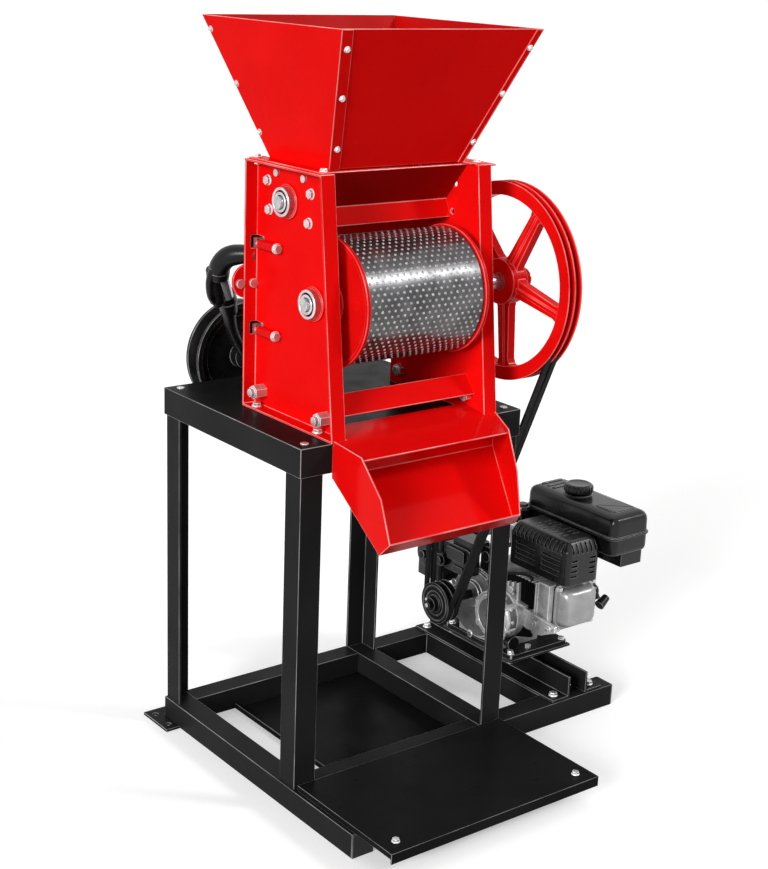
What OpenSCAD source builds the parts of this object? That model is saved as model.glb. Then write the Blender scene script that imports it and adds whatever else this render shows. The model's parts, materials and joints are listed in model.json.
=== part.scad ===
// Coffee pulper on a steel stand, driven by a small petrol engine.
// Millimetres. X to the right, Y to the back, Z up. The origin is on the floor,
// under the middle of the stand.

/* [Stand] */
// Width of the table
table_w = 540; // [500:5:600]
// Depth of the table
table_d = 498; // [490:2:540]
// Height of the table top above the floor
table_z = 750; // [650:10:850]
// Height of the folded edge round the table
apron_h = 57; // [40:1:80]
// Thickness of the stand's sheet
stand_sheet = 4; // [3:0.5:5]
// Side of the angle iron legs
leg_w = 50; // [40:1:60]
// Thickness of the angle iron
angle_t = 5; // [4:0.5:6]
// Side of the square base tubes
tube_w = 50; // [40:1:52]
// Wall of the square tubes
tube_wall = 4; // [3:0.5:5]
// Reach of the side rails in front of the stand
rail_reach = 195; // [150:5:240]
// Reach of the step plate in front of the stand
step_reach = 305; // [260:5:340]
// Height of the step plate's edge above the rails
step_lip = 12; // [10:1:16]

/* [Housing] */
// Distance between the inner faces of the side plates
bay_w = 340; // [330:2:350]
// Thickness of the side plates
plate_t = 4; // [3:0.5:6]
// Height of the side plates
plate_h = 490; // [480:2:500]
// Width of the side plates' folded flanges
flange_w = 32; // [26:1:36]
// Width of the fold along the top of the side plates
top_flange_w = 45; // [40:1:50]
left_top_flange_w = 33; // [28:1:50]
// Front edge of the side plates at the top
plate_front_top = -193; // [-200:1:-185]
// Back edge of the side plates
plate_back = 58; // [54:1:70]

/* [Drum and flywheel] */
// Radius of the drum's sleeve
drum_r = 122; // [118:1:124]
// Wall of the drum's sleeve
drum_wall = 3; // [2:0.5:4]
// Radius of the drum's end discs
disc_r = 127; // [125:1:129]
// Length of the drum over its discs
drum_len = 292; // [280:2:300]
// Radius of the drum shaft
shaft_r = 17.5; // [16:0.5:19]
// Radius of the shaft ends in the left bearing
journal_r = 12.5; // [11:0.5:13]
// Radius of the flywheel
flywheel_r = 203; // [195:1:215]
// Distance from the middle of the machine to the flywheel and the belts
belt_x = 302; // [300:1:308]
// Width of the flywheel's rim
rim_w = 36; // [35:1:40]
// Spokes of the flywheel
spokes = 5; // [4:1:6]

/* [Hopper and chute] */
// Height of the hopper's rim above the floor
hopper_z = 1500; // [1450:10:1550]
// Width of the hopper's rim
hopper_w = 464; // [420:4:480]
// Depth of the hopper's rim
hopper_d = 450; // [420:5:460]
// Thickness of the hopper's sheet
hopper_sheet = 2.5; // [2:0.5:3]
// Width of the folds on the left side of the hopper
fold_left = 25; // [22:1:30]
// Width of the folds on the right side of the hopper
fold_right = 16; // [16:1:30]
// Thickness of the chute's sheet
chute_sheet = 3; // [2:0.5:4]

/* [Drive] */
// Radius of the engine's pulley
pulley_r = 47; // [44:1:54]
// Width of a belt across its top
belt_top = 12.6; // [12:0.1:13]
// Thickness of a belt
belt_t = 8; // [7:0.5:9]
// Radius of the engine's shaft
crank_r = 10; // [9:0.5:11]
// Height of the engine's shaft above the floor
crank_z = 230; // [226:1:236]

/* [Rear wheel] */
// Radius of the rear wheel
wheel_r = 118; // [110:1:120]
// Width of the rear wheel
wheel_w = 50; // [46:1:54]

/* [Clearances] */
// Gap between a bolt and its hole
hole_gap = 0.3; // [0.2:0.1:0.5]
// Radial gap of a shaft in its bearing
run_gap = 0.05; // [0.03:0.01:0.08]
// Gap between a fixed part and one beside it
fit_gap = 0.5; // [0.3:0.1:0.8]

/* [Hidden] */
$fn = 48;
half_w = table_w / 2;
half_d = table_d / 2;
table_under = table_z - stand_sheet;
leg_x = half_w - stand_sheet;
leg_y = half_d - stand_sheet;
inner_x = half_w - tube_w;
inner_y = half_d - tube_w;
cap_t = 3;

// Engine frame
bearer_end = 608;
engine_x = 500;
rail_gap = 48;
rail_foot = 50;
rail_web_z = 100;
bed_plate_z = rail_web_z + 6;
bed_half_x = 92;
bed_half_y = 120;

// Floor tray and anchor tabs
tray_left = -120;
tray_t = 3;
tray_lip = 12;
tab_w = 34;
tab_len = 100;
tab_t = 6;
tab_hole_r = 6;
tab_hole_pitch = 56;

// Step plate
step_half = half_w - 8;
step_back = -half_d - 3;
step_front = -half_d - step_reach;
step_top = tube_w + step_lip;
step_front_lip = 22;
step_sheet = 3;
step_bolt_x = 228;
step_bolt_y = step_front + 32;
step_bar_w = 52;

// Side plates
bay = bay_w / 2;
plate_out = bay + plate_t;
plate_top = table_z + plate_h;
plate_front_low = -half_d - 2;

// Shafts
drum_y = -147;
drum_z = table_z + 243;
feed_y = -54;
feed_z = table_z + 421;
feed_r = 24;
feed_shaft_r = 12.5;
disc_t = 8;
insert_r = 22;
housing_flange_r = 33;
housing_boss_r = 28;
housing_flange_t = 6;
housing_depth = 20;
bearing_hole_r = 26;

// Breast plate behind the drum
breast_gap = 4;
breast_r = disc_r + breast_gap;
breast_t = 6;
breast_low = -40;
breast_high = 52;
lug_zs = [table_z + 157, table_z + 328];
lug_h = 20;
lug_y = 36;
lug_t = 12;
slot_h = 25;
slot_front = 30;
slot_out = 18;
breast_rib_x = 120;

// Plates of the throat and the discharge, as pairs of [y, z]
throat_top = [-158, plate_top];
throat_low = [-98, plate_top - 76];
throat_fold = [-112, plate_top - 113];
rear_top = [30, plate_top];
rear_low = [-35, plate_top - 147];
deflector_top = [-186, table_z + 72];
deflector_low = [-216, table_z + 36];

// Hopper
hopper_low_z = plate_top + 3;
hopper_low_w = 323;
hopper_low_front = -158.4;
hopper_low_back = 30.4;
hopper_mid_y = -60;
hopper_front = hopper_mid_y - hopper_d / 2;
hopper_back = hopper_mid_y + hopper_d / 2;
hopper_rise = hopper_z - hopper_low_z;
hopper_foot = 24;
edge_inset = 0.3; // the folded strips end a little inside the side panels' outer faces
foot_overlap = 1.5; // how far the side panels go down into their feet
front_lean = atan2(hopper_low_front - hopper_front, hopper_rise);
back_lean = atan2(hopper_back - hopper_low_back, hopper_rise);
side_lean = atan2((hopper_w - hopper_low_w) / 2, hopper_rise);
bolt_shares = [0.16, 0.53, 0.87];

// Chute: [y, height above the table] of its wall's corners
chute_back = -half_d - chute_sheet;
chute_half = 199;
chute_mouth_right = 117;
cover_front = chute_back - 86;
cover_back = 59 - half_d;
cover_drop = 12;
cover_rise = 10;
wall_top = 2;
wall_mid = [chute_back - 149, -65];
wall_lip = [chute_back - 180, -143];
wall_tip = [chute_back - 150, -172];
wall_heel = -66;

// Belts and their grooves
belt_pitch = 16.8;
groove_lean = 19;
groove_play = 0.35;
groove_below = 1.5; // room under the belt
wheel_sunk = 13; // from the flywheel's rim to the back of its belts
pulley_sunk = 2.5;
big_belt_r = flywheel_r - wheel_sunk;
small_belt_r = pulley_r - pulley_sunk;
crank_y = 8;
belt_dy = crank_y - drum_y;
belt_dz = crank_z - drum_z;
belt_span = sqrt(belt_dy * belt_dy + belt_dz * belt_dz);
belt_aim = atan2(belt_dz, belt_dy);
belt_wrap = acos((big_belt_r - small_belt_r) / belt_span);
belt_free = sqrt(belt_span * belt_span - pow(big_belt_r - small_belt_r, 2));

// Flywheel
hub_r = 47;
hub_near = 280;
hub_far = 350;
hub_tail_r = 23;
rim_t = 28;
spoke_first = 121;
spoke_t = 20;
spoke_half = 14;
rib_w = 29;
rib_t = 9;

// Engine
pulley_hub_r = 20;
crank_end = 280;
case_x0 = 412;
case_x1 = 540;
case_r = 88;
case_y = 2;
case_z = crank_z - 24;
cover_x = 398;
cover_r = 84;
lobe_x = 384; // round cover beside the crankshaft, half of it on the crankcase
lobe_r = 56;
lobe_y = case_y - 74;
head_x = 500;
head_z = 247;
head_top = crank_z + 70;
guard_lo = [462, -222, 308];
guard_hi = [563, -30, 408];
guard_wall = 2.5;
tank_lo = [568, -252, 364];
tank_hi = [682, 34, 458];
tank_edge = 16;
cap_x = 618;
cap_y = -84;
recoil_x0 = 592;
recoil_x1 = 662;
recoil_r = 92;
cleaner_lo = [372, 96, 228];
cleaner_hi = [486, 186, 352];
lever_x = 566;
lever_y = 100;
lever_z = 347;
lever_pin_r = 3;
cord_r = 2;
cord_z = crank_z + 62;
cord_x = 630;

// Rear wheel and its arm
wheel_x = -46;
wheel_z = 779;
wheel_y0 = 290;
axle_r = 10;
arm_r = 14;
sleeve_r = 18;
leg_r = 11;
pin_r = 8;
boss_y0 = 258;
boss_y1 = wheel_y0 - 4;
bracket_y = plate_back;
bracket_t = 6;
bracket_z = table_z + 250;
arm_start = [-172, bracket_y + bracket_t, table_z + 298];
arm_elbow = [-206, 122, table_z + 290];
arm_knuckle = [-204, 146, table_z + 256];
cheek_low = [-180, 186, table_z + 186];
pin_top = [-192, 150, table_z + 252];
pin_end = [-154, 190, table_z + 178];
sleeve_top = [-164, 180, table_z + 194];
sleeve_low = [-142, 204, table_z + 156];

// Shapes used by several parts

module block(lo, hi) {
    translate(lo) cube(hi - lo);
}

module x_cyl(x0, x1, r, y = 0, z = 0) {
    translate([x0, y, z]) rotate([0, 90, 0]) cylinder(r = r, h = x1 - x0);
}

module y_cyl(y0, y1, r, x = 0, z = 0) {
    translate([x, y1, z]) rotate([90, 0, 0]) cylinder(r = r, h = y1 - y0);
}

module z_cyl(z0, z1, r, x = 0, y = 0) {
    translate([x, y, z0]) cylinder(r = r, h = z1 - z0);
}

// A round bar between two points
module bar(a, b, r) {
    d = b - a;
    flat = sqrt(d.x * d.x + d.y * d.y);
    translate(a)
        rotate([0, atan2(flat, d.z), atan2(d.y, d.x)])
            cylinder(r = r, h = norm(d));
}

// Square tube along Y with open ends
module tube_y(x, y0, y1) {
    difference() {
        block([x - tube_w / 2, y0, 0], [x + tube_w / 2, y1, tube_w]);
        block([x - tube_w / 2 + tube_wall, y0 - 1, tube_wall],
            [x + tube_w / 2 - tube_wall, y1 + 1, tube_w - tube_wall]);
    }
}

// Square tube along X with open ends
module tube_x(y, x0, x1) {
    rotate([0, 0, -90]) tube_y(-y, x0, x1);
}

// Hexagon bolt along Z: washer and head above z = 0, shank and nut below
module bolt(d, grip, nut = true) {
    washer_t = d * 0.18;
    head_t = d * 0.62;
    cylinder(r = d * 1.05, h = washer_t);
    translate([0, 0, washer_t]) cylinder(r = d * 0.9, h = head_t, $fn = 6);
    translate([0, 0, -grip - (nut ? d : 0)])
        cylinder(r = d / 2, h = grip + (nut ? d : 0) + washer_t);
    if (nut) translate([0, 0, -grip - d * 0.8]) cylinder(r = d * 0.9, h = d * 0.8, $fn = 6);
}

module bolt_hole(d, depth) {
    translate([0, 0, -depth]) cylinder(r = d / 2 + hole_gap, h = depth * 2);
}

// Unit vector to the left of the way from a to b
function left_of(a, b) = [a.y - b.y, b.x - a.x] / norm(b - a);

// Outline of a sheet that is bent at b, with its thickness to the left of the way a, b, c
function bent_outline(a, b, c, t) =
    let (first = left_of(a, b), second = left_of(b, c))
        [a, b, c, c + second * t, b + (first + second) * t / (1 + first * second), a + first * t];

// Draws an outline [y, z] out across the whole width between the side plates
module across(half = bay) {
    translate([-half, 0, 0])
        rotate([90, 0, 90])
            linear_extrude(half * 2) children();
}

// A flat sheet there, whose edge runs between two points [y, z]
module cross_sheet(a, b, t, half = bay) {
    side = left_of(a, b) * t;
    across(half) polygon([a, b, b + side, a + side]);
}

// Stand

module leg(side_x, side_y) {
    color([0.08, 0.08, 0.085])
        scale([side_x, side_y, 1])
            difference() {
                block([leg_x - leg_w, leg_y - leg_w, tube_w], [leg_x, leg_y, table_under]);
                block([leg_x - leg_w - 1, leg_y - leg_w - 1, tube_w - 1],
                    [leg_x - angle_t, leg_y - angle_t, table_under + 1]);
            }
}

module at_table_screws() {
    for (sx = [-1, 1])
        for (sy = [-1, 1])
            translate([sx * (leg_x - 21), sy * (leg_y - 21), table_z]) children();
}

module at_step_bolts() {
    for (side = [-1, 1])
        translate([side * step_bolt_x, step_bolt_y, step_top]) children();
}

module at_base_bolts() {
    for (side = [-1, 1])
        for (y = [-186, 24])
            translate([side * (bay + 19), y, table_z + plate_t]) children();
}

module table_top() {
    color([0.09, 0.09, 0.095])
        difference() {
            block([-half_w, -half_d, table_z - apron_h], [half_w, half_d, table_z]);
            block([-half_w + stand_sheet, -half_d + stand_sheet, table_z - apron_h - 1],
                [half_w - stand_sheet, half_d - stand_sheet, table_under]);
            at_table_screws() bolt_hole(8, 20);
            at_base_bolts() bolt_hole(10, 20);
        }
}

module base_rail(side) {
    color([0.08, 0.08, 0.085])
        tube_y(side * (half_w - tube_w / 2), -half_d - rail_reach, half_d);
}

module base_cross_rails() {
    color([0.08, 0.08, 0.085])
        for (side = [-1, 1])
            tube_x(side * (half_d - tube_w / 2), -inner_x, inner_x);
}

module engine_bearers() {
    bed_x = engine_x - rail_gap / 2 - rail_foot + tube_w / 2;
    color([0.08, 0.08, 0.085]) {
        difference() {
            for (side = [-1, 1])
                tube_x(side * (half_d - tube_w / 2), half_w, bearer_end - cap_t);
            at_rail_bolts() bolt_hole(10, 12);
        }
        tube_y(bed_x, -inner_y, inner_y);
    }
}

// Plug in the open end of a tube, with its plate outside
module end_cap() {
    plug = tube_w - 2 * tube_wall - 2 * fit_gap;
    translate([-tube_w / 2, 0, 0]) cube([tube_w, cap_t, tube_w]);
    translate([-plug / 2, -12, tube_wall + fit_gap]) cube([plug, 12, plug]);
}

module tube_end_caps() {
    color([0.05, 0.05, 0.05]) {
        for (side = [-1, 1])
            translate([side * (half_w - tube_w / 2), -half_d - rail_reach, 0])
                rotate([0, 0, 180]) end_cap();
        for (side = [-1, 1])
            translate([bearer_end - cap_t, side * (half_d - tube_w / 2), 0])
                rotate([0, 0, -90]) end_cap();
    }
}

module floor_tray() {
    color([0.10, 0.10, 0.105]) {
        block([tray_left, -inner_y, 0], [inner_x, inner_y, tray_t]);
        block([tray_left, -inner_y, tray_t], [tray_left + tray_t, inner_y, tray_lip]);
    }
}

module anchor_tabs() {
    tab_y1 = half_d + tab_w;
    tab_y0 = tab_y1 - tab_len;
    hole_y = (tab_y0 + tab_y1) / 2;
    color([0.08, 0.08, 0.085])
        difference() {
            union() {
                block([-half_w - tab_w, tab_y0, 0], [-half_w, tab_y1, tab_t]);
                block([-half_w, half_d, 0], [-half_w + tab_w, tab_y1, tab_t]);
            }
            for (side = [-1, 1])
                z_cyl(-1, tab_t + 1, tab_hole_r, -half_w - tab_w / 2,
                    hole_y + side * tab_hole_pitch / 2);
        }
}

module step_plate() {
    lip_x = step_half - step_sheet;
    color([0.09, 0.09, 0.095])
        difference() {
            union() {
                block([-step_half, step_front, step_top - step_sheet],
                    [step_half, step_back, step_top]);
                for (side = [-1, 1])
                    block([side > 0 ? lip_x : -step_half, step_front, tube_w],
                        [side > 0 ? step_half : -lip_x, step_back, step_top]);
                block([-step_half, step_front, step_top - step_front_lip],
                    [step_half, step_front + step_sheet, step_top]);
            }
            at_step_bolts() bolt_hole(8, 20);
        }
}

// Flat bars on the side rails, which carry the front of the step plate
module step_bars() {
    color([0.06, 0.06, 0.06])
        difference() {
            for (side = [-1, 1])
                translate([side * step_bolt_x - step_bar_w / 2, step_front + step_sheet + 1, tube_w])
                    cube([step_bar_w, step_back - step_front - step_sheet - 1,
                        step_lip - step_sheet]);
            at_step_bolts() bolt_hole(8, 20);
        }
}

module stand_bolts() {
    color([0.72, 0.73, 0.75]) {
        at_step_bolts() bolt(8, step_lip);
        at_table_screws() {
            cylinder(r = 8, h = 2.5);
            translate([0, 0, -stand_sheet - 6]) cylinder(r = 4, h = stand_sheet + 6);
            translate([0, 0, -stand_sheet - 6]) cylinder(r = 7, h = 6, $fn = 6);
        }
    }
}

// Housing

module side_outline() {
    polygon([[plate_front_low, 0], [plate_back, 0], [plate_back, plate_h],
        [plate_front_top, plate_h]]);
}

// Stands an outline drawn as [y, height] up over the table, along +X from x
module upright(x, t) {
    translate([x, 0, table_z])
        rotate([90, 0, 90])
            linear_extrude(t) children();
}

module at_corner_studs() {
    for (spot = [[-197, 32], [22, 34]])
        translate([0, spot.x, table_z + spot.y]) children();
}

module at_plate_bolts() {
    for (spot = [[-127, 445], [-122, 390], [17, 452], [10, 397]])
        translate([0, spot.x, table_z + spot.y]) children();
}

module at_top_screws() {
    for (y = [-104, -14])
        translate([0, y, table_z + 470]) children();
}

module at_hopper_foot_bolts() {
    for (side = [-1, 1])
        for (y = [-174, 44])
            translate([side * (bay + 12), y, plate_top + hopper_sheet]) children();
}

// Where the sloping front edge of a side plate is at a height over the table
function plate_front(h) = plate_front_low + (plate_front_top - plate_front_low) * h / plate_h;

// The inside of the flanges on the front, back and lower edges, open at the top
module flange_inside() {
    low = plate_t;
    polygon([[plate_front(low) + plate_t, low], [plate_back - plate_t, low],
        [plate_back - plate_t, plate_h + 1], [plate_front(plate_h + 1) + plate_t, plate_h + 1]]);
}

// The right side plate; the left one is its mirror image with a narrower top flange
module side_plate(top_w = top_flange_w) {
    color([0.78, 0.03, 0.03])
        difference() {
            union() {
                upright(bay, plate_t) side_outline();
                difference() {
                    upright(bay, flange_w) side_outline();
                    upright(bay - 1, flange_w + 2) flange_inside();
                }
                upright(bay, top_w)
                    polygon([[plate_front(plate_h - plate_t), plate_h - plate_t],
                        [plate_back, plate_h - plate_t], [plate_back, plate_h],
                        [plate_front_top, plate_h]]);
            }
            x_cyl(bay - 1, plate_out + 1, bearing_hole_r, drum_y, drum_z);
            x_cyl(bay - 1, plate_out + 1, bearing_hole_r, feed_y, feed_z);
            for (z = lug_zs)
                block([bay - 1, slot_front, z - slot_h / 2],
                    [bay + slot_out, plate_back + 1, z + slot_h / 2]);
            at_corner_studs() x_cyl(bay - 1, plate_out + 1, 8 + hole_gap);
            at_plate_bolts() x_cyl(bay - 1, plate_out + 1, 5 + hole_gap);
            at_top_screws() x_cyl(bay - 1, plate_out + 1, 4 + hole_gap);
            at_base_bolts() bolt_hole(10, 12);
            at_hopper_foot_bolts() bolt_hole(8, 12);
            y_cyl(plate_back - 10, plate_back + 1, 5 + hole_gap, bay + 13, bracket_z - 3);
        }
}

// Front plate of the throat, bent down at its lower edge
module throat_front_plate() {
    color([0.75, 0.03, 0.03])
        across() polygon(bent_outline(throat_fold, throat_low, throat_top, plate_t));
}

module throat_rear_plate() {
    color([0.55, 0.02, 0.02]) cross_sheet(rear_top, rear_low, plate_t);
}

module lower_deflector() {
    color([0.78, 0.03, 0.03]) cross_sheet(deflector_low, deflector_top, plate_t);
}

// Curved plate behind the drum, on two bars that reach out through the side plates
module breast_plate() {
    bar_end = bay + slot_out - 2;
    color([0.62, 0.63, 0.65]) {
        translate([0, drum_y, drum_z])
            rotate([90, 0, 90])
                translate([0, 0, -bay + 3])
                    rotate([0, 0, breast_low])
                        rotate_extrude(angle = breast_high - breast_low)
                            translate([breast_r, 0]) square([breast_t, bay_w - 6]);
        for (z = lug_zs) {
            block([-bar_end, lug_y, z - lug_h / 2], [bar_end, lug_y + lug_t, z + lug_h / 2]);
            for (side = [-1, 0, 1])
                translate([side * breast_rib_x - 4, breast_back(z), z - 8])
                    cube([8, lug_y - breast_back(z) + 1, 16]);
        }
    }
}

// Where the back of the breast plate is at a height, a little inside it
function breast_back(z) =
    drum_y + sqrt(pow(breast_r + breast_t / 2, 2) - pow(abs(z - drum_z) + 8, 2));

// Sleeves welded to the side plates, with the screws that set the breast plate
module breast_adjusters() {
    sleeve_front = -30;
    sleeve_back = 24;
    x = plate_out + 11;
    color([0.78, 0.03, 0.03])
        for (side = [-1, 1])
            for (z = lug_zs)
                difference() {
                    union() {
                        y_cyl(sleeve_front, sleeve_back, 10, side * x, z);
                        block([side > 0 ? plate_out : -x, sleeve_front, z - 7],
                            [side > 0 ? x : -plate_out, sleeve_back, z + 7]);
                    }
                    y_cyl(sleeve_front - 1, sleeve_back + 1, 5 + hole_gap, side * x, z);
                }
}

// Screws of the breast plate, whose ends stand just clear of its bars
module adjuster_screws() {
    x = plate_out + 11;
    for (side = [-1, 1])
        for (z = lug_zs)
            translate([side * x, -30, z])
                rotate([90, 0, 0])
                    bolt(10, lug_y + 30 - fit_gap, false);
}

module housing_bolts() {
    color([0.74, 0.75, 0.77]) {
        adjuster_screws();
        at_base_bolts() bolt(10, plate_t + stand_sheet);
        for (side = [-1, 1])
            scale([side, 1, 1]) {
                at_corner_studs() {
                    x_cyl(bay - 16, plate_out + 34, 8);
                    translate([plate_out, 0, 0]) rotate([0, 90, 0])
                        cylinder(r = 14.5, h = 26, $fn = 6);
                    translate([bay - 12, 0, 0]) rotate([0, 90, 0])
                        cylinder(r = 13, h = 12, $fn = 6);
                }
                at_top_screws() {
                    x_cyl(bay, plate_out, 4);
                    x_cyl(plate_out, plate_out + 6, 7);
                }
            }
        at_plate_bolts()
            translate([-plate_out, 0, 0]) rotate([0, -90, 0]) bolt(10, plate_t, false);
        at_hopper_foot_bolts() bolt(8, hopper_sheet + plate_t);
        for (spot = [-bay - 13, -bay - 41])
            translate([spot, plate_back + bracket_t, bracket_z - 3])
                rotate([-90, 0, 0]) bracket_rivet(spot == -bay - 13);
    }
}

// Round headed bolt through the bracket, and through the flange behind it
module bracket_rivet(through) {
    grip = bracket_t + (through ? plate_t : 0);
    cylinder(r = 8, h = 5);
    translate([0, 0, -grip]) cylinder(r = 5, h = grip);
    translate([0, 0, -grip - 6]) cylinder(r = 9, h = 6);
}

// Bearings

// The four bearing places: [side, y, z, radius of the shaft]
bearing_spots = [[-1, drum_y, drum_z, journal_r], [1, drum_y, drum_z, shaft_r],
    [-1, feed_y, feed_z, feed_shaft_r], [1, feed_y, feed_z, feed_shaft_r]];

module bearing_housings() {
    color([0.72, 0.03, 0.03])
        for (spot = bearing_spots)
            scale([spot[0], 1, 1])
                difference() {
                    union() {
                        x_cyl(plate_out, plate_out + housing_flange_t, housing_flange_r,
                            spot[1], spot[2]);
                        x_cyl(plate_out, plate_out + housing_depth, housing_boss_r,
                            spot[1], spot[2]);
                    }
                    x_cyl(plate_out - 1, plate_out + housing_depth + 1, insert_r,
                        spot[1], spot[2]);
                }
}

module bearing_inserts() {
    color([0.78, 0.79, 0.81])
        for (spot = bearing_spots)
            scale([spot[0], 1, 1])
                difference() {
                    x_cyl(bay - 4, plate_out + housing_depth + 3, insert_r, spot[1], spot[2]);
                    x_cyl(bay - 5, plate_out + housing_depth + 4, spot[3] + run_gap,
                        spot[1], spot[2]);
                }
}

// Drum, feed roller and flywheel

module drum_shell() {
    half = drum_len / 2 - disc_t;
    color([0.66, 0.67, 0.69])
        difference() {
            x_cyl(-half, half, drum_r, drum_y, drum_z);
            x_cyl(-half - 1, half + 1, drum_r - drum_wall, drum_y, drum_z);
        }
}

// End discs with a raised ring round the outside and a boss on the shaft
module drum_discs() {
    half = drum_len / 2;
    color([0.75, 0.03, 0.03])
        for (side = [-1, 1])
            scale([side, 1, 1])
                difference() {
                    union() {
                        x_cyl(half - disc_t, half, disc_r, drum_y, drum_z);
                        x_cyl(half - disc_t - 12, half, 40, drum_y, drum_z);
                    }
                    difference() {
                        x_cyl(half - 3, half + 1, disc_r - 9, drum_y, drum_z);
                        x_cyl(half - 4, half + 2, 46, drum_y, drum_z);
                    }
                    x_cyl(half - 30, half + 1, shaft_r + run_gap, drum_y, drum_z);
                }
}

module drum_shaft() {
    step_x = -drum_len / 2 - 6;
    end_x = -plate_out - housing_depth - 8;
    color([0.75, 0.76, 0.78]) {
        x_cyl(step_x, hub_far + 6, shaft_r, drum_y, drum_z);
        x_cyl(end_x, step_x, journal_r, drum_y, drum_z);
    }
}

// Fluted roller that feeds the cherries to the drum, on its own shaft
module feed_roller() {
    end_x = plate_out + housing_depth + 8;
    flutes = 8;
    color([0.70, 0.71, 0.73]) {
        difference() {
            x_cyl(-bay + 6, bay - 6, feed_r, feed_y, feed_z);
            for (i = [0 : flutes - 1])
                x_cyl(-bay, bay, 4.5, feed_y + feed_r * cos(i * 360 / flutes),
                    feed_z + feed_r * sin(i * 360 / flutes));
        }
        x_cyl(-end_x, end_x, feed_shaft_r, feed_y, feed_z);
    }
}

// Groove for one belt, as an outline [radius, x]: the belt's back lies sunk below the rim's
// radius r, and the walls above it lean out or stand parallel
module groove_outline(r, sunk, walls_lean) {
    half = belt_top / 2 + groove_play;
    mouth = half + (walls_lean ? (sunk + 1) * tan(groove_lean) : 0);
    deep = belt_t + groove_below;
    low = half - deep * tan(groove_lean);
    polygon([[r + 1, -mouth], [r + 1, mouth], [r - sunk, half], [r - sunk - deep, low],
        [r - sunk - deep, -low], [r - sunk, -half]]);
}

// Outline [radius, x] of a rim with two grooves
module grooved_rim(r, depth, sunk, walls_lean) {
    difference() {
        translate([r - depth, -rim_w / 2]) square([depth, rim_w]);
        for (side = [-1, 1])
            translate([0, side * belt_pitch / 2]) groove_outline(r, sunk, walls_lean);
    }
}

// Turns a profile [radius, x] round an axis along X
module spun_x(x, y, z) {
    translate([x, y, z]) rotate([90, 0, 90]) rotate_extrude($fn = 96) children();
}

module flywheel() {
    inner_r = flywheel_r - rim_t;
    color([0.75, 0.03, 0.03])
        difference() {
            union() {
                spun_x(belt_x, drum_y, drum_z) 
                    grooved_rim(flywheel_r, rim_t, wheel_sunk, false);
                x_cyl(hub_near, belt_x + rib_w / 2 + 2, hub_r, drum_y, drum_z);
                x_cyl(belt_x, hub_far, hub_tail_r, drum_y, drum_z);
                for (i = [0 : spokes - 1])
                    translate([belt_x, drum_y, drum_z])
                        rotate([spoke_first + i * 360 / spokes, 0, 0])
                            spoke(inner_r + 4);
            }
            x_cyl(hub_near - 1, hub_far + 1, shaft_r + run_gap, drum_y, drum_z);
        }
}

// One spoke, along +Y from the hub to the rim: a thick web that flares into both, with a rib
module spoke(reach) {
    root = hub_r - 10;
    foot = 22; // half widths where the spoke joins the hub and the rim
    waist = 17.5;
    flare = 14;
    web = [[root, foot], [root + 16, waist], [reach - 20, spoke_half],
        [reach - 9, spoke_half + 4], [reach - 2, spoke_half + flare]];
    mirrored = [for (i = [len(web) - 1 : -1 : 0]) [web[i][0], -web[i][1]]];
    rotate([90, 0, 90])
        translate([0, 0, -spoke_t / 2])
            linear_extrude(spoke_t) polygon(concat(web, mirrored));
    translate([-rib_w / 2, root, -rib_t / 2]) cube([rib_w, reach - root, rib_t]);
}

// Hopper

// Frame of a leaning side: x along the side, y up its slope, z out of it.
// turn is 0 for the front, 90 for the right, 180 for the back, -90 for the left.
module on_side(turn, reach, lean) {
    rotate([0, 0, turn])
        translate([0, -reach, hopper_low_z])
            rotate([90 + lean, 0, 0]) children();
}

// A sheet in that frame, between a bottom edge and a top edge; drop is how far it goes on below
module leaning_sheet(low, high, lean, t, drop = 0) {
    slope = hopper_rise / cos(lean);
    more = (high - low) * drop / slope;
    translate([0, 0, -t])
        linear_extrude(t)
            polygon([[low[0] - more[0], -drop], [low[1] - more[1], -drop], [high[1], slope],
                [high[0], slope]]);
}

// Bolt places on the fold at the edge of the front or the back
module at_fold_bolts(lean, side, fold) {
    slope = hopper_rise / cos(lean);
    low = hopper_low_w / 2;
    high = hopper_w / 2;
    for (share = bolt_shares)
        translate([side * (low + (high - low) * share - fold * 0.56),
            slope * share, hopper_sheet])
            children();
}

module hopper_end(turn, reach, lean, left_side) {
    trim = hopper_sheet + 1;
    color([0.72, 0.02, 0.03])
        on_side(turn, reach, lean)
            difference() {
                leaning_sheet([-hopper_low_w / 2 + trim, hopper_low_w / 2 - trim],
                    [-hopper_w / 2 + trim, hopper_w / 2 - trim], lean, hopper_sheet);
                at_fold_bolts(lean, left_side, fold_left) bolt_hole(6, 12);
                at_fold_bolts(lean, -left_side, fold_right) bolt_hole(6, 12);
            }
}

module hopper_front() {
    hopper_end(0, -hopper_low_front, front_lean, -1);
}

module hopper_back() {
    hopper_end(180, hopper_low_back, back_lean, 1);
}

// Strip of a side panel that is folded over the front or the back
module fold_strip(turn, reach, lean, side, fold) {
    low = side * (hopper_low_w / 2 - edge_inset);
    high = side * (hopper_w / 2 - edge_inset);
    wide = side * (fold - edge_inset);
    on_side(turn, reach, lean)
        difference() {
            translate([0, 0, hopper_sheet])
                leaning_sheet([low - wide, low], [high - wide, high], lean, hopper_sheet);
            at_fold_bolts(lean, side, fold) bolt_hole(6, 12);
        }
}

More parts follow.
